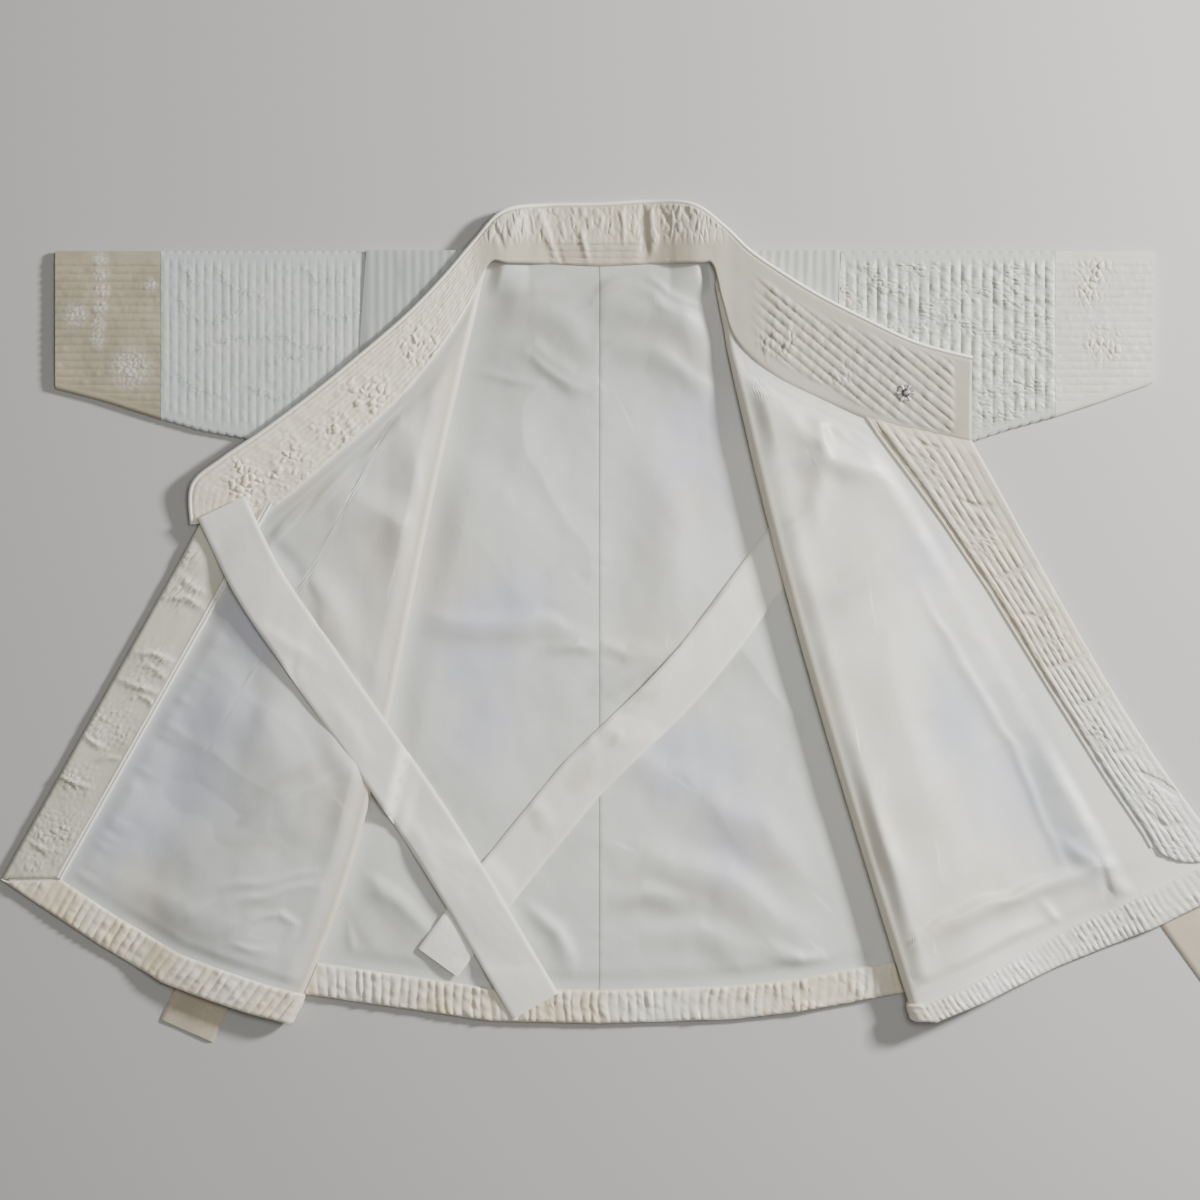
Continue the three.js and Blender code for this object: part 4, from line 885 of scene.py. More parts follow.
# On the facings: groups of small folds, sharp creases on the left, cross tucks on the right.
FACING_MARKS = {
    "left": [((181, 594), 15), ((151, 662), 15), ((136, 688), 12), ((113, 727), 19),
             ((76, 781), 14), ((55, 834), 19), ((190, 560), 9), ((30, 866), 10)],
    "right": [((1150, 790), 20), ((1060, 640), 9), ((930, 470), 14), ((985, 545), 12),
              ((1180, 850), 12), ((1098, 735), 12)],
}
SILK_CREASES = [
    ([(168, 596), (186, 598), (204, 610)], 1.8, 1.0, 1.0),
    ([(180, 572), (190, 586), (204, 592)], 1.8, 0.8, 1.0),
    ([(134, 653), (154, 652), (174, 660)], 1.8, 1.1, 1.0),
    ([(142, 663), (158, 668), (168, 678)], 1.5, 0.8, 0.8),
    ([(120, 678), (140, 686), (162, 692)], 1.8, 1.1, 1.0),
    ([(140, 694), (150, 700), (154, 708)], 1.4, 0.8, 0.8),
    ([(84, 734), (94, 742), (104, 746)], 1.6, 0.9, 0.8),
    ([(58, 776), (74, 782), (92, 788)], 1.6, 1.0, 0.8),
    ([(96, 760), (108, 756), (120, 758)], 1.5, 0.8, 0.8),
    ([(30, 842), (44, 850), (56, 852)], 1.5, 0.8, 0.8),
]
FACING_TUCKS = [
    ([(996, 578), (1014, 572), (1034, 562)], 1.7, -1.5, 0.8),
    ([(1046, 669), (1068, 664), (1092, 652)], 1.7, -1.6, 0.8),
    ([(1072, 707), (1092, 702), (1114, 690)], 1.7, -1.6, 0.8),
    ([(1138, 771), (1160, 782), (1182, 796)], 1.7, -1.5, 0.8),
    ([(1114, 752), (1130, 752), (1148, 742)], 1.6, -1.2, 0.8),
    ([(960, 500), (976, 506), (992, 504)], 1.6, -1.1, 0.8),
    ([(1020, 614), (1036, 616), (1052, 610)], 1.6, -1.2, 0.8),
    ([(908, 436), (924, 446), (944, 448)], 1.6, -1.1, 0.8),
    ([(1150, 812), (1166, 826), (1180, 822)], 1.6, -1.2, 0.8),
]


def facing_relief(front, u, y):
    """Left: soft cloth with sharp little folds in groups. Right: channels with cross breaks."""
    inward = front.edge - u
    place = front.place(front.facing_u(u, y), y, FACING_OFFSET + 0 * y)
    marks = spots(FACING_MARKS[front.side], place[..., 0], place[..., 1])
    if front.side == "left":
        foot = smooth((place[..., 1] * -1 - 400) / 60)
        drawn = 1.5 * creases(SILK_CREASES, place[..., 0], place[..., 1], 5, 2)
        folds = crumple(u, y, 52, 4.6) * (0.06 + marks)
        cells = crumple(inward, y, 55, 7) * 0.6 * foot * (1 - marks)
        soft = 0.4 + 0.3 * layered(u / 12, y / 16, 56, 2)
        return soft + 1.5 * folds + cells + np.maximum(-0.3, 1.3 * drawn)
    tucks = creases(FACING_TUCKS, place[..., 0], place[..., 1], 5, 1.5)
    sway = 0.9 * noise(y / 34, u / 60, 60)
    seam = smooth((inward - 3) / 3)
    fine = crumple(u, y * 1.5, 62, 6) * (0.35 * sprays(u, y, 64) + 0.9 * marks)
    narrowed = 0.85 * inward + 0.0035 * inward ** 2
    plain = 0.45 + 0.55 * smooth((inward - 10) / 12)
    channels = quilt(narrowed + sway, y, PITCH, 1.05, 57, 0.8) * (1 - 0.35 * marks) * plain
    return np.maximum(-0.5, channels * seam + 0.35 * (1 - seam) + fine + 1.5 * tucks)


def build_front_hem(front):
    """The padded cloth turned up at the hem. It runs round the fold."""
    side = front.side
    inside = facing_columns(front, 1)[0]
    u = np.arange(front.edge, front.seam_foot, -0.9)[::-1]
    foot = table(front.hem, u)
    turn = front.top[1] + (-2.0 - (u - front.top[0]) * front.nu) / front.ny
    high = HEM_BAND if side == "left" else lerp(16, 27, smooth((u + 240) / 200))
    head = np.minimum(turn, foot + high)
    keep = head - foot > 1.5
    u, foot, head = u[keep], foot[keep], head[keep]
    if side == "left":
        share = clamp01((u - inside) / (front.edge - inside) + 1.8 / HEM_BAND)
        head = lerp(head, foot, np.where(u > inside, share, 0) * 0.985)
    y = lerp(head[:, None], foot[:, None], np.linspace(0, 1, 21)[None, :])
    wide = np.broadcast_to(u[:, None], y.shape)
    uf = front.flared(wide, y)
    ends = smooth((head[:, None] - y) / 2.0) ** 0.5 * smooth((y - foot[:, None]) / 2.2) ** 0.5
    pitch, height = (PITCH, 1.35) if side == "left" else (4.7, 0.95)
    sway = 1.0 * noise(y / 14, wide / 30, 64) + 1.1 * noise(y / 40, wide / 9, 68)
    rib = quilt(front.edge - wide + sway, y, pitch, height, 61 + front.sign, 1.0)
    rib = rib * (0.4 + 0.6 * smooth(0.6 + 1.2 * layered(wide / 15, y / 18, 65, 2)))
    lift = lerp(0.6, FACING + rib, ends)
    outer = front.place(uf, y, FACING_OFFSET + lift)
    inner = front.place(uf, y, FACING_OFFSET + 0 * y)
    tint = mixed(even(CREAM, y), BRIGHT, 0.35 + 0.9 * layered(wide / 40, y / 60, 66))
    if side == "right":
        dusk = mixed(tint, DUSK, 0.75 * smooth((outer[..., 0] - 235) / 80))
        tint = LEVEL["hem right"] * dusk
    piece = wall("hem_cloth_" + side, outer, inner, (5, 10), spots_of(wide, y), tint, QUILT)
    stands_for(piece, "outer_satin", "hem_facing_" + side)


# Back

BACK_FOLDS = [
    ([(470, 296), (530, 296), (574, 322), (594, 360)], 10, 1.2, 0.8),
    ([(500, 348), (530, 344), (556, 360), (576, 376), (595, 380)], 6, 1.2, 1.0),
    ([(520, 352), (550, 370), (572, 384), (592, 388)], 3.5, 0.8, 0.6),
    ([(602, 296), (616, 282), (632, 268)], 4, 0.9, 0.5),
    ([(602, 306), (650, 304), (696, 330), (722, 352)], 7, 1.8, 0.8),
    ([(606, 344), (652, 350), (690, 376), (720, 388)], 7, 1.9, 1.0),
    ([(644, 274), (664, 294), (710, 312)], 3, 1.1, 0.6),
    ([(636, 284), (660, 304), (704, 322)], 3, 0.9, 0.6),
    ([(462, 376), (500, 380), (540, 384)], 3, 0.7, 0.5),
    ([(410, 616), (480, 626), (540, 620), (592, 636)], 5, 1.4, 1.6),
    ([(548, 652), (578, 642), (596, 646)], 3.5, 1.2, 0.5),
    ([(600, 640), (628, 652), (664, 646)], 4.5, 1.2, 0.6),
    ([(604, 690), (640, 664), (690, 640)], 8, 1.2, 0.5),
    ([(440, 480), (500, 500), (560, 560)], 20, 1.1, 0.8),
    ([(640, 440), (676, 520), (668, 620)], 18, 1.3, 0.8),
    ([(334, 906), (348, 926), (353, 952)], 3, 1.2, 0.5),
    ([(345, 870), (378, 882), (410, 905), (440, 928)], 3.6, 1.0, 0.6),
    ([(352, 884), (384, 896), (418, 920), (450, 944)], 4.5, 0.9, 0.7),
    ([(424, 856), (470, 880), (520, 930)], 8, 1.4, 0.8),
    ([(528, 905), (556, 930), (572, 968)], 5, 1.5, 0.8),
    ([(640, 850), (720, 880), (800, 940)], 12, 2.2, 0.9),
    ([(640, 940), (700, 930), (760, 950)], 9, 1.5, 0.6),
    ([(604, 900), (640, 890), (690, 900)], 7, 1.3, 0.5),
    ([(700, 790), (760, 820), (806, 880)], 14, 1.6, 0.8),
    ([(620, 740), (660, 770), (700, 770)], 11, 1.1, 0.5),
    ([(770, 950), (800, 968), (830, 962)], 5, 1.4, 0.5),
]
# Painted shade along the valleys of the back lining, a width each.
BACK_SHADE_BANDS = [
    ([(474, 316), (528, 316), (562, 336), (584, 366)], 11), ([(602, 324), (644, 326), (680, 346),
     (722, 366)], 11), ([(416, 632), (480, 642), (540, 636), (590, 650)], 5),
    ([(500, 300), (540, 290), (580, 300)], 5), ([(604, 300), (620, 284), (636, 270)], 4),
    ([(340, 894), (358, 934), (388, 964)], 4), ([(366, 902), (410, 938), (460, 966)], 4.5),
    ([(392, 890), (440, 914), (494, 956)], 5), ([(640, 868), (716, 896), (792, 952)], 9),
    ([(702, 806), (756, 836), (798, 890)], 9), ([(610, 912), (644, 902), (692, 914)], 5),
    ([(650, 660), (700, 680), (760, 660)], 9), ([(606, 700), (640, 676), (690, 654)], 6),
    ([(430, 430), (446, 520), (436, 600)], 12), ([(648, 450), (660, 530), (650, 610)], 11),
]
# Painted warm shade on the back lining, near its folds and tie 2, a radius each.
BACK_WARM_SHADE = [((672, 660), 34), ((430, 560), 34), ((690, 500), 20), ((480, 900), 24)]
# Painted lilac reflection in the back's satin, a radius each.
BACK_LILAC_REFLECTIONS = [((690, 480), 40), ((700, 420), 30), ((480, 640), 44), ((700, 760), 40),
              ((520, 600), 34), ((740, 840), 34), ((480, 720), 34)]


def back_swell(x, y):
    opened = smooth((inside_folds(x, y) - 6) / 24)
    clear = opened * smooth((y - table(BACK_HEM, x) - HEM_BAND - 5) / 12)
    clear = clear * smooth((table(BACK_NECK, x) - 2 - y) / 8)
    off = np.abs(x - CENTRE_X)
    seam = 0.88 + 0.12 * smooth(off / 2)
    pulls = 0.35 * np.exp(-(off / 8) ** 2) * layered(y / 7, x / 30, 73, 2)
    waves = 0.8 + 0.9 * layered(x / 50, y / 66, 71, 2) + 0.4 * layered(x / 20, y / 24, 75, 2)
    waves = waves + 1.2 * rumples(0.8 * x + 0.6 * y, 0.8 * y - 0.6 * x, 77, 56, 2.4)
    return np.maximum(0, clear * seam * (2.0 * creases(BACK_FOLDS, x, y) + waves + pulls))


def back_grid(front, columns, rows, short):
    down = np.linspace(0, 1, rows)[None, :]
    across = np.linspace(0, 1, columns)[:, None]
    seam = CENTRE_X - front.sign * GAP / 2
    under = clamp01((down - 0.26) / 0.74)
    edge = lerp(front.armhole, front.seam_foot, under) * front.sign
    x = lerp(seam, edge, across)
    neck = table(BACK_NECK, x) + UNDER_COLLAR * smooth((100 - np.abs(x - CENTRE_X)) / 10)
    y = lerp(neck, table(BACK_HEM, x) + short, down)
    return x, y


def build_back(front):
    side = front.side
    x, y = back_grid(front, 160, 60, 0)
    puff = quilt(x - CENTRE_X, y, PITCH, 0.8, 81, 0.3)
    outer = np.stack([x, y, 0.8 - np.clip(puff, 0, 0.8)], axis=-1)
    inner = np.stack([x, y, np.full_like(x, SHELL)], axis=-1)
    shell = wall("padded_back_" + side, outer, inner, (6, 6), spots_of(x, y),
                 even(IVORY, x), QUILT)
    stands_for(shell, "outer_satin", "back_" + side)

    x, y = back_grid(front, 150, 236, 3)
    sunk = 0.8 * smooth((y - table(BACK_NECK, x)) / 3)
    drawn_up = np.maximum(0, collar_middle(x, y) - SHELL / 2 - 2 * GAP - BACK_LINING_HIGH)
    drawn_up = drawn_up * smooth((y - table(BACK_NECK, x) + 30) / 28)
    drawn_up = drawn_up * smooth((inside_folds(x, y) - 2) / 12)
    outer = np.stack([x, y, BACK_LINING_HIGH + back_swell(x, y) + drawn_up - sunk], axis=-1)
    inner = np.stack([x, y, np.full_like(x, BACK_LINING_LOW)], axis=-1)
    lining = wall("satin_back_" + side, outer, inner, (5, 5), spots_of(x, y),
                  back_tint(x, y), SATIN)
    stands_for(lining, "lining_satin", "lining_back_" + side)


def back_tint(x, y):
    patch = 0.5 + 0.5 * layered(x / 80, y / 80, 91)
    tint = mixed(even(PEARL, x), COOL, 0.45 * patch)
    wx, wy = warped(x, y, 47, 20, 60)
    # Painted lilac reflection, then painted warm shade, then painted shade along the fold valleys.
    tint = mixed(tint, LILAC_REFLECTION, 0.8 * spots(BACK_LILAC_REFLECTIONS, wx, wy) * (0.6 + 0.4 * patch))
    tint = mixed(tint, WARM_SHADE, 0.5 * spots(BACK_WARM_SHADE, wx, wy))
    tint = painted_shade_bands(tint, BACK_SHADE_BANDS, x, y, SHADE, 0.6)
    seam = np.exp(-((x - CENTRE_X) / 1.2) ** 2)
    level = by_height(y, LEVEL["back near neck"], LEVEL["back below"])
    return level * mixed(tint, SHADE, 0.7 * seam)


def fold_edge(front, y):
    """Where the folded front covers the back, at height y."""
    along = (y - front.top[1]) / front.dy
    reach = front.fold_bow(along) + front.radius(along) * (1 - np.pi / 2) + FACING_OFFSET
    return (front.top[0] + along * front.du + reach * front.nu) * front.sign


def build_back_hem():
    rise = np.linspace(HEM_BAND, 0, 17)[None, :]
    start, end = fold_edge(LEFT, -581 + rise) + 1, fold_edge(RIGHT, -581 + rise) - 1
    x = lerp(start, end, np.linspace(0, 1, 480)[:, None])
    y = table(BACK_HEM, x) + rise
    low = FACING_OFFSET - LINING_OFFSET + BACK_LINING_LOW
    sway = 1.2 * noise(y / 14, x / 30, 64) + 1.5 * noise(y / 40, x / 9, 68)
    puff = quilt(x - CENTRE_X + sway, y, PITCH, 1.5, 101, 1.0)
    puff = puff * (0.35 + 0.65 * smooth(0.6 + 1.3 * layered(x / 15, y / 16, 103, 2)))
    groups = smooth(2.2 * layered(x / 40, y / 50, 107, 2) + 0.2)
    puff = puff + 0.8 * crumple(x, y, 105, 6.5) * groups
    rim = smooth((rise + 0 * x) / 2.2) ** 0.5 * smooth((HEM_BAND - rise + 0 * x) / 2.2) ** 0.5
    outer = np.stack([x, y, low + lerp(0.5, FACING + puff, rim)], axis=-1)
    inner = np.stack([x, y, np.full_like(x, low)], axis=-1)
    tint = mixed(even(CREAM, x), BRIGHT, 0.35 + 0.9 * layered(x / 40, y / 60, 66))
    piece = wall("hem_cloth_back", outer, inner, (6, 8), spots_of(x, y),
                 LEVEL["hem back"] * tint, QUILT)
    stands_for(piece, "outer_satin", "hem_facing_back")


# Sleeves

SLEEVE_HEIGHT, SLEEVE_WALL, EDGE_ROUND = 5.2, 2.0, 3.0
# Armhole, cuff seam and end, and the lower edge.
SLEEVES = {
    "left": (-181, -341, -423, [
        (-423, -108), (-388, -117), (-341, -132), (-310, -141), (-266, -149), (-181, -153)]),
    "right": (190, 358, 434, [
        (190, -153), (295, -149), (322, -140), (358, -130), (392, -119), (434, -104)]),
}


def ring(x, foot, inset, steps, relief, scallop=0.0):
    """Flattened tube: the top face, the lower edge, the under face and the upper edge."""
    head = np.full_like(x, -inset * 1.6) - scallop
    low = foot + inset * 1.6 + scallop
    high, floor = SLEEVE_HEIGHT - inset, inset
    middle = SLEEVE_HEIGHT / 2
    t = np.linspace(0, 1, steps)[None, :]
    crown = np.minimum(smooth(t * 14), smooth((1 - t) * 14))
    top_y = lerp(head[:, None] - EDGE_ROUND, low[:, None] + EDGE_ROUND, t)
    parts = [(top_y, high + relief * crown + 0 * top_y)]
    turn = np.linspace(0, np.pi, 9)[None, 1:-1]
    half = (high - floor) / 2
    parts.append((low[:, None] + EDGE_ROUND * (1 - np.sin(turn)), middle + half * np.cos(turn)))
    back = np.linspace(0, 1, max(2, steps // 6))[None, :]
    parts.append((lerp(low[:, None] + EDGE_ROUND, head[:, None] - EDGE_ROUND, back),
                  floor + 0 * back + 0 * x[:, None]))
    parts.append((head[:, None] - EDGE_ROUND * (1 - np.sin(turn)), middle - half * np.cos(turn)))
    y = np.concatenate([np.broadcast_to(p[0], (len(x), p[0].shape[1])) for p in parts], axis=1)
    z = np.concatenate([np.broadcast_to(p[1], (len(x), p[1].shape[1])) for p in parts], axis=1)
    points = np.stack([np.broadcast_to(x[:, None], y.shape), y, z], axis=-1)
    return np.concatenate([points, points[:, :1]], axis=1)


def build_tube(name, node, slot, material, start, end, foot_table, columns, steps, relief, tint,
               wave=None):
    """Sleeve or cuff. wave is the quilting's pitch where its channels draw in the edges."""
    x = np.linspace(start, end, columns)
    foot = table(foot_table, x)
    t = np.linspace(0, 1, steps)[None, :]
    y = lerp(-EDGE_ROUND, foot[:, None] + EDGE_ROUND, t)
    wide = np.broadcast_to(x[:, None], y.shape)
    scallop = 1.0 * (1 - np.abs(np.sin(np.pi * (x - start) / wave)) ** 0.65) if wave else 0.0
    outer = ring(x, foot, 0.0, steps, relief(wide, y), scallop)
    inner = ring(x, foot, SLEEVE_WALL, steps, 0 * y)
    flat = spots_of(outer[..., 0], outer[..., 1])
    piece = wall(name, outer, inner, (5, 5), flat, tint(outer[..., 0], outer[..., 1]),
                 material, closed="rows")
    stands_for(piece, slot, node)
    return piece


def sprays(x, y, seed):
    """Where groups of small marks lie."""
    wx, wy = warped(x, y, seed, 12, 40)
    return smooth(1.9 * layered(wx / 30, wy / 24, seed + 2, 2) + 0.15)


# Branches of the woven sprays, where the quilting puckers. Places in pixels of the photograph.
BRANCHES = {
    "left": [
        [(196, 352), (214, 342), (240, 339), (279, 336), (300, 345), (332, 347)],
        [(312, 309), (336, 318), (362, 311), (376, 292)], [(268, 362), (286, 356), (304, 358)],
        [(180, 300), (196, 318), (216, 322), (240, 312)], [(220, 272), (236, 290), (262, 296)],
        [(300, 268), (316, 282), (346, 278)], [(176, 372), (196, 392), (226, 396)],
        [(250, 388), (276, 398), (300, 392)], [(392, 262), (404, 282), (426, 288)],
        [(182, 262), (190, 280), (204, 284)],
    ],
    "right": [
        [(786, 274), (802, 288), (820, 312)], [(842, 321), (868, 333), (900, 330), (922, 328)],
        [(922, 328), (930, 307), (969, 292), (1008, 283)], [(926, 312), (958, 322), (990, 333)],
        [(1004, 262), (1018, 276), (1012, 296)], [(1008, 297), (1028, 310), (1048, 321)],
        [(982, 398), (1008, 388), (1040, 384)], [(990, 352), (1014, 344), (1044, 348)],
        [(770, 262), (784, 270), (796, 266)], [(870, 270), (884, 286), (904, 290)],
        [(1024, 330), (1036, 346), (1048, 352)], [(900, 262), (930, 268), (950, 262)],
        [(976, 420), (1000, 414), (1020, 418)], [(836, 286), (852, 300), (860, 316)],
    ],
}


def branches(side, x, y, width):
    wx, wy = warped(x, y, 17, 2.5, 12)
    near = np.full(x.shape, 99.0)
    for pixels in BRANCHES[side]:
        near = np.minimum(near, to_path(seen(*pixels), wx, wy))
    return np.exp(-(near / width) ** 2)


def sleeve_relief(side, x, y):
    seam = SLEEVES[side][1]
    if side == "left":
        base = quilt(x - seam, y, SLEEVE_PITCH[side], 0.5, 111, 0.7)
        return base + 0.7 * crumple(x, y * 1.5, 113, 4.2) * branches(side, x, y, 3.2)
    group = branches(side, x, y, 6.5)
    base = quilt(x - seam, y, SLEEVE_PITCH[side], 1.3, 111, 1.0) * (1 - 0.3 * group)
    return base + (0.3 + 0.8 * group) * 1.8 * crumple(x * 0.7, y * 1.9, 119, 5.8)


def sleeve_tint(side, x, y):
    if side == "left":
        marks = branches(side, x, y, 2.6) * smooth(3 * (0.42 - crumple(x, y * 1.5, 113, 4.2)))
        tint = mixed(even(COOL, x), PEARL, 0.2 + 0.7 * layered(x / 36, y / 36, 161))
        return LEVEL["sleeve left"] * mixed(tint, SAGE, 0.85 * marks)
    tint = mixed(even(IVORY, x), BRIGHT, 0.1 + 0.7 * layered(x / 40, y / 40, 163))
    tint = mixed(tint, COOL, 0.4)
    return LEVEL["sleeve right"] * mixed(tint, CREAM, 0.6 * spots([((843, 300), 8)], x, y))


SLEEVE_PITCH = {"left": 6.8, "right": 8.2}
# Woven blossoms and stitches on the cuffs.
CUFF_MARKS = {
    "left": [((100, 258), 6), ((100, 274), 6), ((101, 290), 6), ((99, 307), 6), ((98, 324), 6),
             ((97, 339), 6), ((150, 285), 5), ((130, 368), 15), ((75, 315), 9)],
    "right": [((1094, 268), 15), ((1090, 292), 12), ((1105, 345), 15)],
}


def cuff_relief(side, x, y):
    marks = spots(CUFF_MARKS[side], x, y)
    if side == "left":
        return quilt(y, x, 6.2, 0.8, 121, 0.35) + 0.9 * marks * crumple(x, y, 123, 4)
    base = quilt(y, x, 6.2, 0.45, 125, 0.7) * (1 - 0.6 * marks)
    return base + 1.5 * marks * clamp01(1.5 * crumple(x, y * 0.8, 127, 5) - 0.35)


def cuff_tint(side, x, y):
    marks = spots(CUFF_MARKS[side], x, y)
    if side == "left":
        tint = mixed(even(BEIGE, x), CREAM, 0.15 + 0.7 * layered(x / 30, y / 30, 165))
        woven = marks * smooth(2.2 * crumple(x, y, 123, 4))
        return LEVEL["cuff left"] * mixed(tint, BRIGHT, 0.75 * woven)
    tint = mixed(even(IVORY, x), BRIGHT, 0.2 + 0.7 * layered(x / 30, y / 30, 167))
    tint = mixed(tint, DUSK, 0.6 * spots([((1090, 310), 46)], x, y))
    return LEVEL["cuff right"] * mixed(tint, CREAM, 0.5 * marks)


def build_sleeve(side):
    armhole, seam, end, foot = SLEEVES[side]
    outward = math.copysign(1, armhole)
    build_tube("quilted_sleeve_" + side, "sleeve_" + side, "outer_satin", QUILT,
               armhole + outward * GAP, seam - outward * GAP, foot, 190, 140,
               lambda x, y: sleeve_relief(side, x, y), lambda x, y: sleeve_tint(side, x, y),
               wave=SLEEVE_PITCH[side])
    build_tube("quilted_cuff_" + side, "cuff_" + side, "cuff_satin", CUFF, seam, end, foot,
               100, 170, lambda x, y: cuff_relief(side, x, y),
               lambda x, y: cuff_tint(side, x, y))


# Collar

# Rows of outer x, outer y, inner x and inner y, from the left tip to the right one.
COLLAR = np.array([
    (-315, -214, -257, -206), (-314, -184, -247, -199), (-292, -165, -234, -189),
    (-261, -144, -212, -170), (-222, -115, -173, -136), (-183, -83, -140, -103),
    (-146, -51, -115, -70), (-118, -22, -96, -39), (-94, 6, -83, -12), (-73, 28, -69, -12),
    (-44, 34, -41, -12), (2, 35, 2, -14), (41, 37, 45, -12), (74, 34, 79, -12),
    (98, 17, 90, -14), (118, -2, 97, -43), (141, -18, 108, -74), (170, -36, 139, -101),
    (207, -55, 178, -120), (248, -74, 221, -137), (292, -86, 291, -152),
], float)


def collar_lines(count):
    """Outer and inner line of the collar, drawn smoothly through the table's rows."""
    places = np.linspace(0, len(COLLAR) - 1, count)
    i = np.clip(places.astype(int), 0, len(COLLAR) - 2)
    t = (places - i)[:, None]
    at = lambda k: COLLAR[np.clip(i + k, 0, len(COLLAR) - 1)]
    p0, p1, p2, p3 = at(-1), at(0), at(1), at(2)
    rows = 0.5 * (2 * p1 + (p2 - p0) * t + (2 * p0 - 5 * p1 + 4 * p2 - p3) * t ** 2
                  + (3 * p1 - p0 - 3 * p2 + p3) * t ** 3)
    return rows[:, :2], rows[:, 2:]


def collar_middle(x, y):
    """Height that the collar lies on: the floor's level behind the neck, the flaps beside it."""
    carried = smooth((np.abs(x - CENTRE_X) - 35) / 45)
    rise = by_side(x, LEFT.fold_rise(x, y), RIGHT.fold_rise(-x, y))
    return lerp(FLOOR_MIDDLE, flap_at(x, y) + rise, carried)


COLLAR_RISE, COLLAR_WIDTH = 2.7, 0.050
# Folds where the collar is gathered behind the neck, and groups of small puckers on its halves.
NECK_FOLDS = [
    ([(540, 209), (546, 230), (554, 251)], 2.2, 1.0, 0.5),
    ([(528, 212), (530, 224), (531, 236)], 1.6, -0.8, 0.3),
    ([(520, 214), (515, 228), (510, 240)], 2.0, 0.9, 0.5),
    ([(581, 228), (585, 244), (589, 262)], 2.0, 0.8, 0.4),
    ([(559, 247), (561, 254), (563, 262)], 1.6, -0.6, 0.3),
    ([(644, 206), (645, 230), (646, 254)], 2.0, -1.2, 0.8),
    ([(651, 206), (652, 230), (652, 252)], 2.4, 0.9, 0.5),
    ([(660, 209), (666, 218), (671, 227)], 1.6, -0.7, 0.3),
    ([(623, 207), (624, 226), (625, 244)], 1.8, 0.7, 0.3),
    ([(684, 207), (686, 213), (689, 220)], 1.6, -0.7, 0.3),
    ([(600, 212), (603, 220), (600, 230)], 1.6, 0.5, 0.3),
    ([(492, 226), (500, 238), (504, 250)], 2.0, -0.6, 0.3),
]
COLLAR_CRUMPLES = [((417, 344), 17), ((366, 395), 17), ((339, 431), 17), ((291, 464), 18),
                   ((243, 485), 17), ((784, 338), 12), ((840, 375), 9)]


def collar_relief(x, y, across, run):
    left, right = smooth((-84 - x) / 16), smooth((x - 92) / 16)
    wx, wy = warped(x, y, 134, 12, 16)
    petals = clamp01(1.7 * crumple(x, y * 0.8, 133, 5.2) - 0.55)
    marks = spots(COLLAR_CRUMPLES, wx, wy) * petals
    lines = quilt(across * 12 + 0 * x, run, 1.0, 0.28, 131, 1.2, 0.07)
    lines = lines + 0.35 * layered(run / 9, across * 4, 132, 2)
    slanted = quilt(0.643 * x + 0.766 * y, 0.766 * x - 0.643 * y, 6.8, 1.35, 135, 0.6)
    above = lerp(0.14, 0.03, smooth((x - 150) / 110))
    beyond = lerp(0.87, 0.97, smooth((x - 160) / 90))
    padded = smooth((across - above) / 0.08) * smooth((beyond - across) / 0.08)
    padded = padded * smooth((279 - x) / 5) * smooth((x - 118) / 20)
    plain = 0.35 + 0.25 * layered(x / 14, y / 14, 137, 2)
    rows = quilt(y + 6.2, x, 5.2, 1.0, 139, 0.5) * smooth((11 - y) / 5)
    rows = rows * smooth((x + 38) / 4) * smooth((36 - x) / 6)
    gathers = crumple(x * 1.35, y * 0.42, 149, 6.0) ** 1.3 * smooth((y - 1) / 10)
    drawn = 0.8 + 2.3 * creases(NECK_FOLDS, x, y, 5, 1.5) + 1.35 * gathers
    drawn = np.clip(drawn + 0.3 * layered(x / 9, y / 16, 147, 2), 0, 3)
    lift = left * (lines + 2.0 * marks) + right * (lerp(plain, slanted, padded) + 1.6 * marks)
    return lift + (1 - left) * (1 - right) * (0.75 * rows + drawn)


def collar_tint(x, y):
    left, right = smooth((-84 - x) / 16), smooth((x - 92) / 16)
    tint = mixed(even(CREAM, x), IVORY, 0.5 + 0.8 * layered(x / 34, y / 34, 151))
    tint = mixed(tint, MILK, 0.9 * left)
    tint = mixed(tint, MILK, 0.3 * (1 - left) * (1 - right) * smooth((y - 4) / 12))
    tint = mixed(tint, SAND, 0.6 * (1 - left) * (1 - right) * smooth((10 - y) / 8))
    tint = mixed(tint, SAND, 0.18 * (1 - left))
    tint = mixed(tint, SAND, 0.35 * right)
    # Darker beige: a patch low on the band behind the neck, and painted shade in the dent at the
    # right collar's folded end.
    tint = mixed(tint, BEIGE, 0.7 * spots([((529, 250), 13), ((948, 428), 9)], x, y))
    level = lerp(LEVEL["collar neck"], LEVEL["collar left"], left)
    level = lerp(level, LEVEL["collar right"], right)[..., None]
    return level * mixed(tint, IVORY, 0.5 * right * smooth((276 - x) / 4))


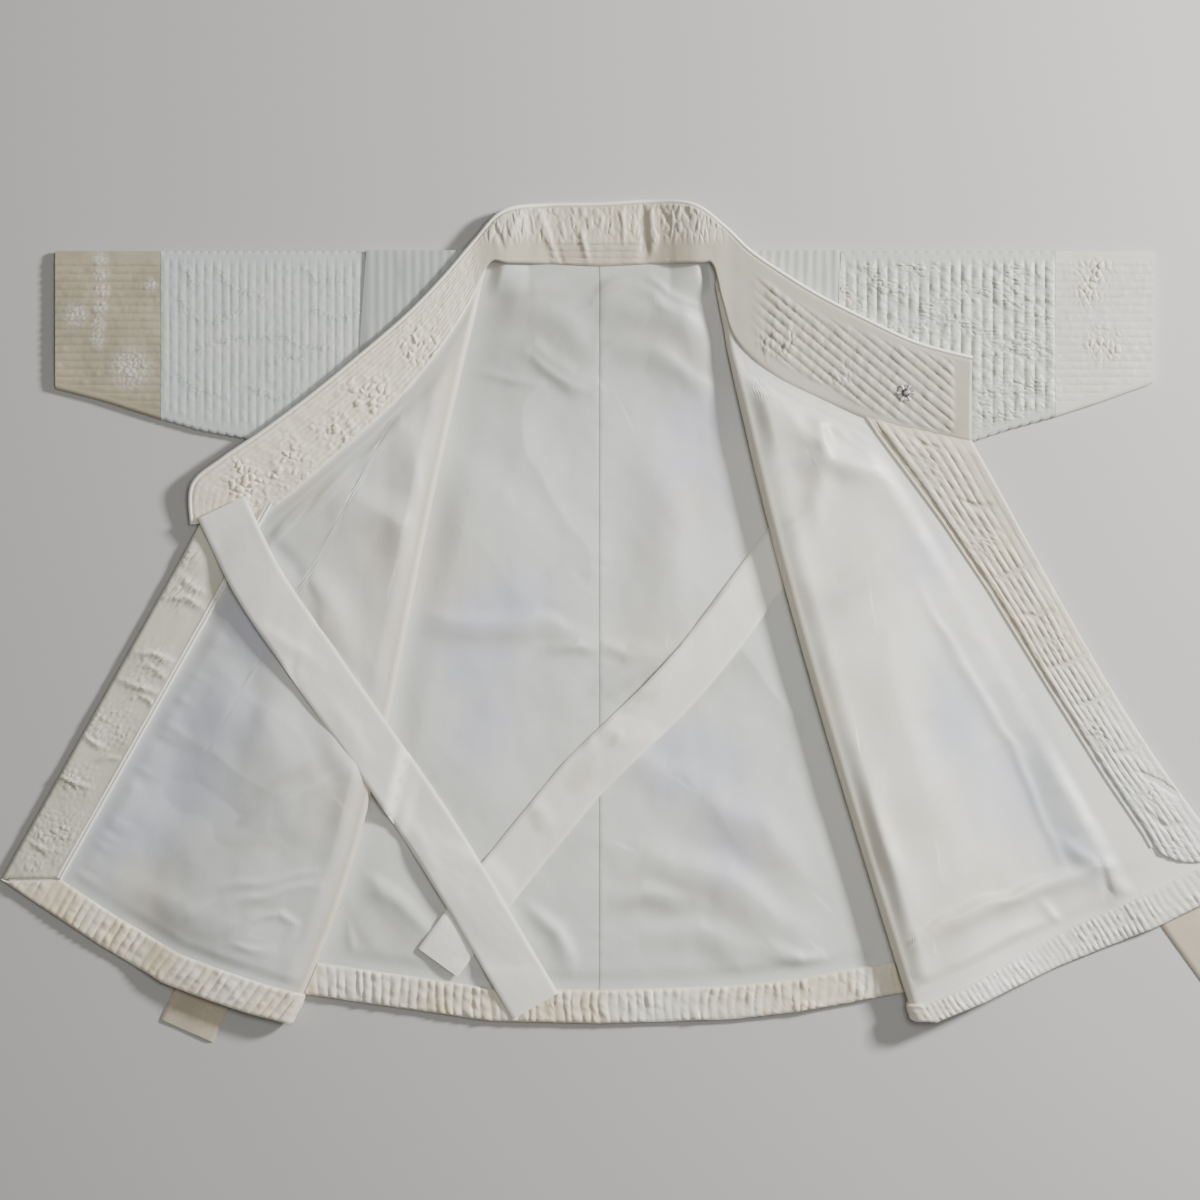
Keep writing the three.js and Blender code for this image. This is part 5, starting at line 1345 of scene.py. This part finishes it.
def build_collar():
    outer_line, inner_line = collar_lines(840)
    gap = np.linalg.norm(inner_line - outer_line, axis=1)[:, None]
    inner_line = lerp(inner_line, outer_line, 1.6 / gap)
    across = np.linspace(0, 1, 72)[:, None]
    plan = lerp(outer_line[None], inner_line[None], across[..., None])
    x, y = plan[..., 0], plan[..., 1]
    step = np.linalg.norm(np.diff((outer_line + inner_line) / 2, axis=0), axis=1)
    run = np.concatenate([[0], np.cumsum(step)])[None, :] + 0 * x
    middle = collar_middle(x, y)
    edge = smooth(across * 24) ** 0.5 * smooth((1 - across) * 24) ** 0.5
    ends = smooth(np.minimum(run, run[0, -1] - run) / 2) ** 0.5
    rise = COLLAR_RISE - 0.6 + (0.6 + collar_relief(x, y, across, run)) * edge * ends
    outer = np.stack([x, y, middle + rise], axis=-1)
    inner = np.stack([x, y, middle - SHELL / 2], axis=-1)
    piece = wall("quilted_collar", outer, inner, (8, 6), spots_of(run, across * 50 + 0 * x),
                 collar_tint(x, y), QUILT)
    stands_for(piece, "outer_satin", "collar")
    build_collar_edge(outer_line)


def build_collar_edge(line):
    """Narrow white binding along the collar's outer line."""
    along = np.gradient(line, axis=0)
    along /= np.linalg.norm(along, axis=1)[:, None]
    beside = np.stack([-along[:, 1], along[:, 0]], axis=1)
    middle = collar_middle(line[:, 0], line[:, 1])
    t = np.linspace(0, 1, 9)[:, None]
    near, width = 0.1, 2.9
    plan = line[None] + beside[None] * (near + width * t[..., None])
    arch = np.sin(np.pi * t) * 0.9 - 0.6 * t ** 2
    z = middle[None] + COLLAR_RISE - 0.4 + arch
    outer = np.stack([plan[..., 0], plan[..., 1], z], axis=-1)
    inner = outer.copy()
    inner[..., 2] = middle[None] - SHELL / 2
    run = np.concatenate([[0], np.cumsum(np.linalg.norm(np.diff(line, axis=0), axis=1))])
    flat = spots_of(run[None] + 0 * z, 3 * t + 0 * z)
    piece = wall("edge_binding", outer, inner, (8, 4), flat, even(BRIGHT, z), WHITE)
    stands_for(piece, "edge_white", "collar_edge")


# Ties

def back_surface(x, y):
    """What a tie on the back lies on."""
    band = table(BACK_HEM, x) + HEM_BAND
    low = LEG_LINING_LOW + FACING + RIB
    return np.where(y < band + 1, low, BACK_LINING_HIGH + back_swell(x, y))


def top_surface(x, y):
    """What a tie on flap and back lies on."""
    seam = by_side(x, LEFT.side_seam(y), RIGHT.side_seam(y))
    u = np.where(x < CENTRE_X, x, -x)
    near_edge = smooth((seam - u - 15) / 20)
    cloth = lerp(LINING_OFFSET + LINING, FACING_OFFSET + FACING + RIB, near_edge)
    return np.where(inside_folds(x, y) > 4, back_surface(x, y), flap_at(x, y) + cloth)


def draped(surface, x, y):
    """Cloth laid over a surface: it can't drop faster than a slope beside something higher."""
    height = surface(x, y)
    for distance in (15.0, 30.0, 45.0, 60.0):
        for k in range(12):
            angle = 2 * np.pi * k / 12
            over = surface(x + distance * np.cos(angle), y + distance * np.sin(angle))
            height = np.maximum(height, over - 0.45 * (distance - 15))
    return height + GAP


def sewn_height(x, y):
    """An outer tie rises from the floor to its seam under the flap."""
    side = "left" if float(np.mean(x)) < CENTRE_X else "right"
    start = TIES["tie_outer_" + side][2][0]
    carried = 1 - smooth((np.hypot(x - start[0], y - start[1]) - 26) / 90)
    return np.maximum(0, carried * (flap_at(x, y) - SHELL / 2 - RIB - TIE - 3 * GAP))


def tie_height(kind, x, y):
    if kind == "floor":
        return sewn_height(x, y)
    if kind == "back":
        return draped(back_surface, x, y)
    lift = (TIE + 3 * GAP) * smooth((86 - np.hypot(x + 96, y + 518)) / 30)
    bridge = 2.6 * smooth((-232 - y) / 40) * smooth((y + 420) / 90)
    return draped(top_surface, x, y) + GAP + lift + bridge


def smooth_path(path, step):
    """Curve through a path's points, in even steps."""
    points = np.array(path, float)
    chord = np.concatenate([[0], np.cumsum(np.linalg.norm(np.diff(points, axis=0), axis=1))])
    dense = np.linspace(0, chord[-1], int(chord[-1] / step) + 1)
    slopes = np.gradient(points, chord, axis=0)
    i = np.clip(np.searchsorted(chord, dense, side="right") - 1, 0, len(points) - 2)
    h = (chord[i + 1] - chord[i])[:, None]
    t = ((dense - chord[i])[:, None]) / h
    return ((2 * t ** 3 - 3 * t ** 2 + 1) * points[i] + (t ** 3 - 2 * t ** 2 + t) * h * slopes[i]
            + (-2 * t ** 3 + 3 * t ** 2) * points[i + 1] + (t ** 3 - t ** 2) * h * slopes[i + 1])


# Soft folds pressed into the ties, places in pixels of the photograph.
TIE_FOLDS = [
    ([(262, 626), (290, 646), (318, 664)], 5, 0.7, 0.6),
    ([(296, 652), (290, 676), (300, 700)], 4, -0.6, 0.4),
    ([(330, 700), (352, 730), (366, 764)], 6, 0.6, 0.5),
    ([(398, 800), (420, 838), (440, 880)], 6, 0.6, 0.5),
    ([(556, 690), (580, 722), (596, 752)], 5, 0.8, 0.6),
    ([(590, 694), (616, 712), (640, 716)], 4, -0.6, 0.4),
    ([(600, 726), (624, 740), (646, 736)], 5, 0.6, 0.5),
    ([(700, 612), (722, 600), (748, 580)], 5, 0.6, 0.5),
    ([(520, 800), (540, 810), (552, 830)], 5, 0.5, 0.4),
]
# Painted shade: darker patches in the folds of tie 2, in pixels, a radius each.
TIE_SHADES = [((584, 777), 12), ((535, 821), 7), ((648, 697), 8), ((612, 740), 5)]


def blurred(grid, rounds):
    for _ in range(rounds):
        wide = np.pad(grid, 1, mode="edge")
        beside = wide[:-2, 1:-1] + wide[2:, 1:-1] + wide[1:-1, :-2] + wide[1:-1, 2:]
        grid = (beside + 4 * grid) / 8
    return grid


def tie_tint(name, x, y):
    patch = 0.5 + 0.5 * layered(x / 40, y / 40, 171)
    if "outer" in name:
        tint = mixed(even(GREIGE, x), BEIGE, 0.5 * patch)
        motif = sprays(x, y, 173) * smooth(2 * crumple(x, y, 175, 6))
        return mixed(tint, CREAM, 0.25 * motif)
    tint = mixed(even(BRIGHT, x), PEARL, 0.25 * patch)
    # Painted shade in the folds of tie 2.
    return mixed(tint, SAND, 0.55 * spots(TIE_SHADES, *warped(x, y, 47, 8, 20)))


def build_tie(name):
    width, kind, path = TIES[name]
    line = smooth_path(path, 2.0)
    along = np.gradient(line, axis=0)
    along /= np.linalg.norm(along, axis=1)[:, None]
    beside = np.stack([-along[:, 1], along[:, 0]], axis=1)
    share = np.linspace(-0.5, 0.5, 33)[:, None, None]
    plan = line[None] + beside[None] * share * width
    x, y = plan[..., 0], plan[..., 1]
    base = blurred(tie_height(kind, x, y), 8)
    run = np.arange(len(line))[None, :] * 2.0 + 0 * x
    off = share[..., 0] * width + 0 * x
    edge = smooth((0.5 - np.abs(share[..., 0])) * width / 3)
    soft = 0.35 * layered(off / 34, run / 50, 141) + 0.1 * layered(off / 6, run / 9, 143)
    folds = 1.7 * creases(TIE_FOLDS, x, y, 5, 3)
    top = base + 0.5 + (TIE - 0.6) * edge ** 0.5 + (soft + folds) * edge
    outer = np.stack([x, y, np.maximum(top, base + 0.4)], axis=-1)
    inner = np.stack([x, y, base], axis=-1)
    piece = wall(name + "_silk", outer, inner, (8, 5), spots_of(off, run),
                 tie_tint(name, x, y), SILK)
    stands_for(piece, "tie_silk", name)


# Snap fastener: its place on the collar, and radius and height of its profile

SNAP_PLACE = (240.0, -112.0)
SNAP_PROFILE = [
    (0, 0), (6.3, 0), (6.5, 0.25), (6.5, 0.7), (6.3, 0.95), (5.8, 1.05), (5.2, 1.0), (4.6, 0.92),
    (4.0, 0.9), (3.4, 0.95), (3.0, 1.1), (2.7, 1.4), (2.3, 2.3), (2.0, 2.9), (1.3, 3.15),
    (0.6, 3.2), (0, 3.2),
]


def build_snap():
    """Sew-on press stud: a pierced rim held by six bunches of thread, and the ball."""
    x0, y0 = SNAP_PLACE
    low = float(collar_middle(np.array([x0]), np.array([y0]))[0]) + COLLAR_RISE + RIB
    turn = np.linspace(0, 2 * np.pi, 97)[None, :]
    rows = np.array(SNAP_PROFILE)
    wide, high = rows[:, :1] + 0 * turn, rows[:, 1:] + 0 * turn
    spoke = smooth((np.cos(6 * turn) - 0.55) / 0.3) * smooth((wide - 3.2) / 0.5)
    bunch = spoke * (high > 0.2)
    wide, high = wide + 0.5 * bunch * (wide > 6), high + 0.45 * bunch
    shape = np.stack([x0 + wide * np.cos(turn), y0 + wide * np.sin(turn), low + high], axis=-1)
    index = np.arange(shape.shape[0] * shape.shape[1]).reshape(shape.shape[:2])
    flat = shape.reshape(-1, 3)
    tint = mixed(even((1, 1, 1), wide), THREAD, bunch)
    piece = make_mesh("press_fastener", (flat + SHIFT) * MM, grid_faces(index), flat,
                      tint.reshape(-1, 3), STEEL, sharp=35)
    stands_for(piece, "snap_metal", "snap")


for front in FRONTS:
    build_back(front)
    build_front(front)
build_back_hem()
for side in SLEEVES:
    build_sleeve(side)
build_collar()
for name in TIES:
    build_tie(name)
build_snap()


# Floor, light and camera, in metres and watts

FLOOR_SIZE, FLOOR_DROP, FLOOR_COLOUR = 8, 0.0004, (0.54, 0.535, 0.53, 1)
SKY_COLOUR, SKY_LEVEL = (1.0, 0.97, 0.92, 1), 0.15
LAMPS = (
    ("key", (1.75, 0.8, 1.0), 0.3, 86, (1.0, 0.99, 0.965)),
    ("overhead", (0.35, 0.25, 2.05), 0.7, 14, (1.0, 0.98, 0.94)),
)
MIDDLE_PIXEL, LENS, SENSOR, FRAME_WIDTH = (600, 600), 85.0, 36.0, 0.936
CLOTH_TOP = 0.008


def floor_and_light():
    bpy.ops.mesh.primitive_plane_add(size=FLOOR_SIZE, location=(0, 0, -FLOOR_DROP))
    floor = bpy.context.object
    floor.name = "floor"
    material = bpy.data.materials.new("floor")
    material.use_nodes = True
    shader = material.node_tree.nodes["Principled BSDF"]
    shader.inputs["Base Color"].default_value = FLOOR_COLOUR
    shader.inputs["Roughness"].default_value = 0.9
    floor.data.materials.append(material)
    world = bpy.data.worlds.new("studio")
    bpy.context.scene.world = world
    world.use_nodes = True
    sky = world.node_tree.nodes["Background"]
    sky.inputs[0].default_value = SKY_COLOUR
    sky.inputs[1].default_value = SKY_LEVEL
    for name, place, size, power, colour in LAMPS:
        light = bpy.data.lights.new(name, "AREA")
        light.size, light.energy, light.color = size, power, colour
        lamp = bpy.data.objects.new(name, light)
        lamp.location = place
        lamp.rotation_euler = (-Vector(place)).to_track_quat("-Z", "Y").to_euler()
        bpy.context.scene.collection.objects.link(lamp)


def camera():
    """Straight above the picture's middle, as high as its frame needs over the cloth."""
    data = bpy.data.cameras.new("camera")
    data.lens, data.sensor_width = LENS, SENSOR
    eye = bpy.data.objects.new("camera", data)
    target = (np.array([*seen(MIDDLE_PIXEL)[0], 0]) + SHIFT) * MM
    eye.location = (target[0], target[1], FRAME_WIDTH * LENS / SENSOR + CLOTH_TOP)
    bpy.context.scene.collection.objects.link(eye)
    bpy.context.scene.camera = eye


floor_and_light()
camera()
